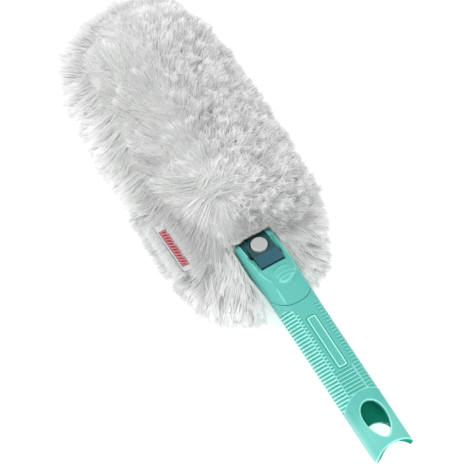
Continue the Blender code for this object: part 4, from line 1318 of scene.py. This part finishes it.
def loose_threads(name, Q, N, D, rng):
    n, k = len(Q), 15
    L = rng.uniform(9, 24, n)
    a = rng.normal(0, 0.7, n)[:, None] + rng.normal(0, 1.6, n)[:, None] * np.linspace(0, 1, k)[None]
    a = a + rng.uniform(0.1, 0.8, n)[:, None] * np.sin(np.linspace(0, 6, k)[None] * rng.uniform(0.5, 1.6, n)[:, None]
                                                     + rng.uniform(0, 6, n)[:, None])
    S = unit(np.cross(N, D))
    step = (L / (k - 1))[:, None]
    u = np.cumsum(np.cos(a) * step, 1) - L[:, None] * 0.5
    v = np.cumsum(np.sin(a) * step, 1)
    t = np.linspace(0, 1, k)[None]
    w = 0.7 + rng.uniform(-0.3, 1.1, n)[:, None] * t + 1.2 * np.sin(np.pi * t) * rng.uniform(0, 1, n)[:, None]
    w = w - (u ** 2 + v ** 2) / 150.0 - 2.0 * np.clip(0.2 - t, 0, 1) * 8
    P = Q[:, None] + D[:, None] * u[..., None] + S[:, None] * v[..., None] + N[:, None] * w[..., None]
    P[:, :, 2] = np.maximum(P[:, :, 2], 1.0)
    tone = rng.uniform(0.75, 1.0, n)
    in_pieces(name, P, rng.uniform(0.28, 0.42, n), N, tone, 0 * tone, rng, 9000, root_shade=0 * tone)


def make_lower():
    rng = np.random.default_rng(23)
    count = 42000
    psi = np.radians(rng.uniform(-70, 96, count))
    x, y, ox, oy, reach = LOWER.place(rng, np.ones(count))
    inner = rng.uniform(0, 1, count)
    # tips on a rounded rim; those that face up are spread back towards the middle
    spread = np.where(psi > math.radians(58), 30.0 * inner, 0.0)
    inset = 15.5 - 15.5 * np.cos(psi) + spread
    z = -14.5 + 14.0 * np.sin(psi) - np.where(psi < 0, 3.0 * np.sin(-psi), 0.0)
    z = z + np.where(psi > math.radians(58), 0.17 * spread, 0.0)
    Q = np.stack([x - ox * inset, y - oy * inset, z], -1)
    N = np.stack([ox * np.cos(psi), oy * np.cos(psi), np.sin(psi)], -1)
    keep = ~((np.abs(Q[:, 0]) < 19.4) & (Q[:, 1] < 16.8))
    Q, N, ox, oy, psi = Q[keep], N[keep], ox[keep], oy[keep], psi[keep]
    n = len(Q)
    Q = Q + N * hills(Q[:, 0], Q[:, 1] + 2 * Q[:, 2], 9, 1.8)[:, None]
    tf = Tufts(Q, rng, 360, 30)
    D = np.stack([ox, oy, np.full(n, -0.22)], -1)
    swing = np.where((oy < -0.2) | (Q[:, 1] < 20), 0.0, np.where(ox < 0, -0.12, 0.16))
    D = turn_flat(D, swing + tf.bn(0.13) + tf.sn(0.14) + tf.un(0.09))
    D = unit(D)
    loose = tf.u(0, 1) < 0.22
    pull = np.where(loose, 0.05, 0.56 * tf.s(0.5, 1.3))
    Q = Q + D * (tf.bn(1.3) + tf.sn(2.0) + tf.un(0.6))[:, None]
    length = tf.b(24, 34) * tf.u(0.85, 1.12)
    lay = np.radians(np.clip(tf.b(6, 20) + tf.sn(4) + tf.un(3), 3, 40))
    P = comb(Q, N, D, length, lay, tf, pull, 1.1, np.full(n, 1.0))
    P[:, :, 2] = np.clip(P[:, :, 2], -31.6, 6.0)
    P = clear_channel(under_label(P))
    # painted light on the lower pile: lighter over the far left, the near left and the far end
    tone = 0.52 + 0.22 * step01(60, 170, Q[:, 1]) * step01(20, -30, Q[:, 0])
    tone = tone + 0.14 * step01(10, -25, Q[:, 1]) * step01(0, -30, Q[:, 0])
    tone = tone + 0.10 * step01(210, 250, Q[:, 1]) * step01(-20, 20, Q[:, 0])
    tone = tone + tf.un(0.06) + tf.sn(0.03) + tf.bn(0.02)
    # painted highlight on the tips of some tufts
    tips = np.where(tf.s(0, 1) < 0.40, 0.42, 0.08) * tf.u(0.4, 1.2)
    in_pieces("pile_back_fibres", P, tf.u(0.28, 0.52), N, tone, tips, rng, 13800)


def make_under():
    rng = np.random.default_rng(37)
    n0 = 15000
    rho = np.sqrt(rng.uniform(0.0, 0.86, n0))
    rho = np.where(rng.uniform(0, 1, n0) < 0.25, rng.uniform(0.0, 0.45, n0), rho)
    x, y, ox, oy, reach = LOWER.place(rng, rho)
    ok = ~((np.abs(x) < 19.0) & (y < 17.0))
    x, y, ox, oy, rho = x[ok], y[ok], ox[ok], oy[ok], rho[ok]
    n = len(x)
    N = np.stack([0 * ox, 0 * oy, -np.ones(n)], -1)
    D = np.stack([ox, oy, 0 * ox], -1)
    Q = np.stack([x, y, -30.7 + hills(x, y, 3, 0.5)], -1)
    tf = Tufts(Q, rng, 300, 20)
    D = turn_flat(D, tf.bn(0.4) + tf.sn(0.25) + tf.un(0.15) + tf.sn(1.6) * step01(0.42, 0.25, rho))
    length = tf.b(16, 24) * tf.u(0.85, 1.12)
    lay = np.radians(np.clip(tf.b(12, 26) + tf.un(3), 5, 40))
    P = comb(Q, N, D, length, lay, tf, 0.45 * tf.s(0.5, 1.3), 1.2, np.full(n, 0.4), k=7)
    P[:, :, 2] = np.clip(P[:, :, 2], -31.7, -6.0)
    P = clear_channel(P)
    tone = 0.54 + tf.un(0.06) + tf.sn(0.03)
    # slight painted highlight at the tips and the default painted shade at the roots
    in_pieces("pile_under_fibres", P, tf.u(0.6, 1.0), N, tone, 0.1 + 0 * tone, rng, 13800)


make_upper()
make_lower()
make_under()


# -------------------------------------------------------------------- cloth
def thin_sheet(name, top, faces_uv, thick, mat):
    """Closed thin solid from a grid of top points."""
    nu, nv = top.shape[:2]
    low = top - np.array([0, 0, thick])
    verts = np.vstack([top.reshape(-1, 3), low.reshape(-1, 3)])
    idx = lambda i, j, k: k * nu * nv + i * nv + j
    faces = []
    for i in range(nu - 1):
        for j in range(nv - 1):
            faces.append((idx(i, j, 0), idx(i + 1, j, 0), idx(i + 1, j + 1, 0), idx(i, j + 1, 0)))
            faces.append((idx(i, j, 1), idx(i, j + 1, 1), idx(i + 1, j + 1, 1), idx(i + 1, j, 1)))
    for i in range(nu - 1):
        faces.append((idx(i, 0, 0), idx(i, 0, 1), idx(i + 1, 0, 1), idx(i + 1, 0, 0)))
        faces.append((idx(i, nv - 1, 0), idx(i + 1, nv - 1, 0), idx(i + 1, nv - 1, 1), idx(i, nv - 1, 1)))
    for j in range(nv - 1):
        faces.append((idx(0, j, 0), idx(0, j + 1, 0), idx(0, j + 1, 1), idx(0, j, 1)))
        faces.append((idx(nu - 1, j, 0), idx(nu - 1, j, 1), idx(nu - 1, j + 1, 1), idx(nu - 1, j + 1, 0)))
    ob = new_object(name, verts, faces, mat, "head")
    bm = bmesh.new()
    bm.from_mesh(ob.data)
    bmesh.ops.recalc_face_normals(bm, faces=bm.faces)
    bm.to_mesh(ob.data)
    bm.free()
    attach(ob, "cover")
    return ob


def sleeve_edge(y):
    """Left and right edge of the sleeve that goes over the frame."""
    far = np.clip((y - 176.0) / 59.0, 0, 1)
    half = 43.6 * np.sqrt(np.clip(1 - far ** 2.2, 0.02, 1)) - 0.8 * step01(60.0, 18.0, y)
    mid = 1.6 * step01(90.0, 190.0, y)
    return mid - half, mid + half


def build_sleeve():
    """Two knitted cloths joined by a bound edge, open at the near end for the frame."""
    ys = np.linspace(19.0, 234.5, 110)
    lo, hi = sleeve_edge(ys)
    us = np.linspace(0, 1, 40)
    X = lo[None] + (hi - lo)[None] * us[:, None]
    Y = np.broadcast_to(ys[None], X.shape)
    for name, node, z, seed in (("sleeve_front", "cover_front_cloth", 4.3, 41),
                                ("sleeve_back", "cover_back_cloth", -3.75, 43)):
        Z = z + hills(X * 2.2, Y * 2.2, seed, 0.10)
        ob = thin_sheet(name, np.stack([X, Y, Z], -1), None, 0.5, CLOTH)
        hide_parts(node)
    # bound edge: a folded tape round the outline
    side = np.concatenate([np.linspace(30.0, 176.0, 60), 176.0 + 58.3 * np.sin(np.linspace(0, np.pi / 2, 26))[1:]])
    left, right = sleeve_edge(side)
    path = np.vstack([np.column_stack([left, side]), np.column_stack([right, side])[::-1]])
    tan = np.gradient(path, axis=0)
    tan /= np.linalg.norm(tan, axis=1)[:, None]
    out = np.column_stack([-tan[:, 1], tan[:, 0]])
    prof = [(-0.9, -3.1), (0.35, -3.1), (0.7, -2.7), (0.78, 0.0), (0.7, 2.7), (0.35, 3.1), (-0.9, 3.1),
            (-0.9, 2.6), (0.1, 2.5), (0.1, -2.5), (-0.9, -2.6)]
    rings = [np.array([(p_[0] + o_[0] * a_, p_[1] + o_[1] * a_, b_) for a_, b_ in prof])
             for p_, o_ in zip(path, out)]
    bind = rings_object("sleeve_binding", rings, CLOTH, "head", angle=35.0)
    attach(bind, "cover")
    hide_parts("edge_binding")
    for name, node, z in (("sleeve_front_hem", "front_hem", 2.9), ("sleeve_back_hem", "back_hem", -2.9)):
        rings = []
        for x in np.linspace(-40.0, 40.0, 81):
            w = 0.10 * math.sin(x * 1.3) + 0.06 * math.sin(x * 2.9 + 1)
            q = 2 * np.pi * np.arange(16) / 16
            cy = 24.0 + 3.1 * np.sign(np.cos(q)) * np.abs(np.cos(q)) ** 0.5
            cz = z + 0.34 * np.sign(np.sin(q)) * np.abs(np.sin(q)) ** 0.6 + 0.05 * math.sin(x * 4.2)
            rings.append(np.stack([np.full(16, x), cy + w, cz], -1))
        hem = rings_object(name, rings, CLOTH, "head", angle=None)
        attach(hem, "cover")
        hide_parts(node)


build_sleeve()


# -------------------------------------------------------------------- label
def label_lie(y):
    """How the label's tape waves along the seam."""
    v = (y - LABEL_Y[0]) / 47.0
    return 0.55 * np.sin(v * 5.0 + 0.6) + 0.25 * np.sin(v * 11 + 2)


def build_label():
    """Tape folded at its outer edge, with both ends sewn into the side seam, and its woven patch."""
    th, r = 0.30, 0.34
    (x0, x1), (y0, y1) = LABEL_X, LABEL_Y
    # profile of the tape's middle line: top leaf, fold, bottom leaf
    path = [(x, r) for x in np.linspace(x1, x0 + r, 16)]
    path += [(x0 + r - r * math.sin(a), r * math.cos(a)) for a in np.linspace(0, math.pi, 9)[1:-1]]
    path += [(x, -r) for x in np.linspace(x0 + r, x1, 16)]
    path = np.array(path)
    tan = np.gradient(path, axis=0)
    tan /= np.linalg.norm(tan, axis=1)[:, None]
    out = np.column_stack([-tan[:, 1], tan[:, 0]])
    loop = np.vstack([path + out * th / 2, (path - out * th / 2)[::-1]])
    rings = []
    for y in np.linspace(y0, y1, 48):
        # the near and far ends curl up a little
        up = 0.5 * np.clip((y0 + 5 - y) / 5, 0, 1) ** 2 + 0.3 * np.clip((y - y1 + 5) / 5, 0, 1) ** 2
        w = (x1 - loop[:, 0]) / (x1 - x0)
        rings.append(np.stack([loop[:, 0], np.full(len(loop), y),
                               LABEL_Z + loop[:, 1] + (label_lie(y) + up) * w - 0.8 * (1 - w)], -1))
    ob = rings_object("label_tape", rings, LABEL_W, "head", angle=40.0)
    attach(ob, "cover")
    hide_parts("label_tag")

    px, py = np.linspace(PATCH_X[0], PATCH_X[1], 12), np.linspace(PATCH_Y[0], PATCH_Y[1], 40)
    rings = []
    for y in py:
        w = (x1 - px) / (x1 - x0)
        z = LABEL_Z + r + th / 2 + label_lie(y) * w - 0.8 * (1 - w)
        rings.append(np.vstack([np.stack([px, np.full(12, y), z + 0.10], -1),
                                np.stack([px, np.full(12, y), z - 0.06], -1)[::-1]]))
    patch = rings_object("label_red_patch", rings, LABEL_R, "head", angle=40.0)
    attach(patch, "cover")
    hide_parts("label_patch")


build_label()


# ------------------------------------------------------------ floor, lights
def build_floor():
    mat, n, l, bsdf = node_material("floor_white")
    tc = n.new("ShaderNodeTexCoord")
    t = add_noise(n, l, tc.outputs["Object"], 3.0, 2.0)
    col = ramp(n, l, t.outputs["Fac"], [(0.3, (0.93, 0.93, 0.93, 1)), (0.7, (0.95, 0.95, 0.95, 1))])
    l.new(col.outputs["Color"], bsdf.inputs["Base Color"])
    bsdf.inputs["Emission Color"].default_value = (1, 1, 1, 1)
    bsdf.inputs["Emission Strength"].default_value = 0.42
    bsdf.inputs["Roughness"].default_value = 0.9
    bsdf.inputs["Specular IOR Level"].default_value = 0.1
    me = bpy.data.meshes.new("floor")
    s = 6.0
    me.from_pydata([(-s, -s, -0.0006), (s, -s, -0.0006), (s, s, -0.0006), (-s, s, -0.0006)], [],
                   [(0, 1, 2, 3)])
    me.materials.append(mat)
    ob = bpy.data.objects.new("floor", me)
    scene.collection.objects.link(ob)


build_floor()

world = bpy.data.worlds.new("studio")
scene.world = world
world.use_nodes = True
world.node_tree.nodes["Background"].inputs["Color"].default_value = (1.0, 1.0, 1.0, 1)
world.node_tree.nodes["Background"].inputs["Strength"].default_value = 0.77


def area(name, loc, target, size, power, color=(1, 1, 1)):
    d = bpy.data.lights.new(name, "AREA")
    d.shape = "RECTANGLE"
    d.size, d.size_y = size
    d.energy = power
    d.color = color
    ob = bpy.data.objects.new(name, d)
    scene.collection.objects.link(ob)
    ob.location = loc
    ob.rotation_euler = (Vector(target) - Vector(loc)).to_track_quat("-Z", "Y").to_euler()
    return ob


area("key_light", (-0.6, 0.8, 1.5), (0.0, 0.05, 0.0), (0.9, 0.9), 13.0)
area("fill_light", (-0.2, -1.2, 1.5), (0.0, -0.05, 0.0), (1.0, 1.0), 12.0)

# ------------------------------------------------------------------- camera
AZ, EL = math.radians(-31.66), math.radians(59.85)
view = np.array([math.sin(AZ) * math.cos(EL), -math.cos(AZ) * math.cos(EL), math.sin(EL)])
cam_data = bpy.data.cameras.new("photo_camera")
cam_data.sensor_width = 36.0
cam_data.lens = 2286.0 / 470.0 * 36.0
cam_data.shift_x = -(257.84 - 235.0) / 470.0
cam_data.shift_y = (251.06 - 235.0) / 470.0
cam_data.clip_start, cam_data.clip_end = 0.05, 20.0
cam = bpy.data.objects.new("photo_camera", cam_data)
scene.collection.objects.link(cam)
cam.location = Vector((HINGE + 1800.0 * view) * MM)
cam.rotation_euler = Vector(-view).to_track_quat("-Z", "Y").to_euler()
scene.camera = cam
scene.view_settings.view_transform = "Standard"
scene.view_settings.look = "None"
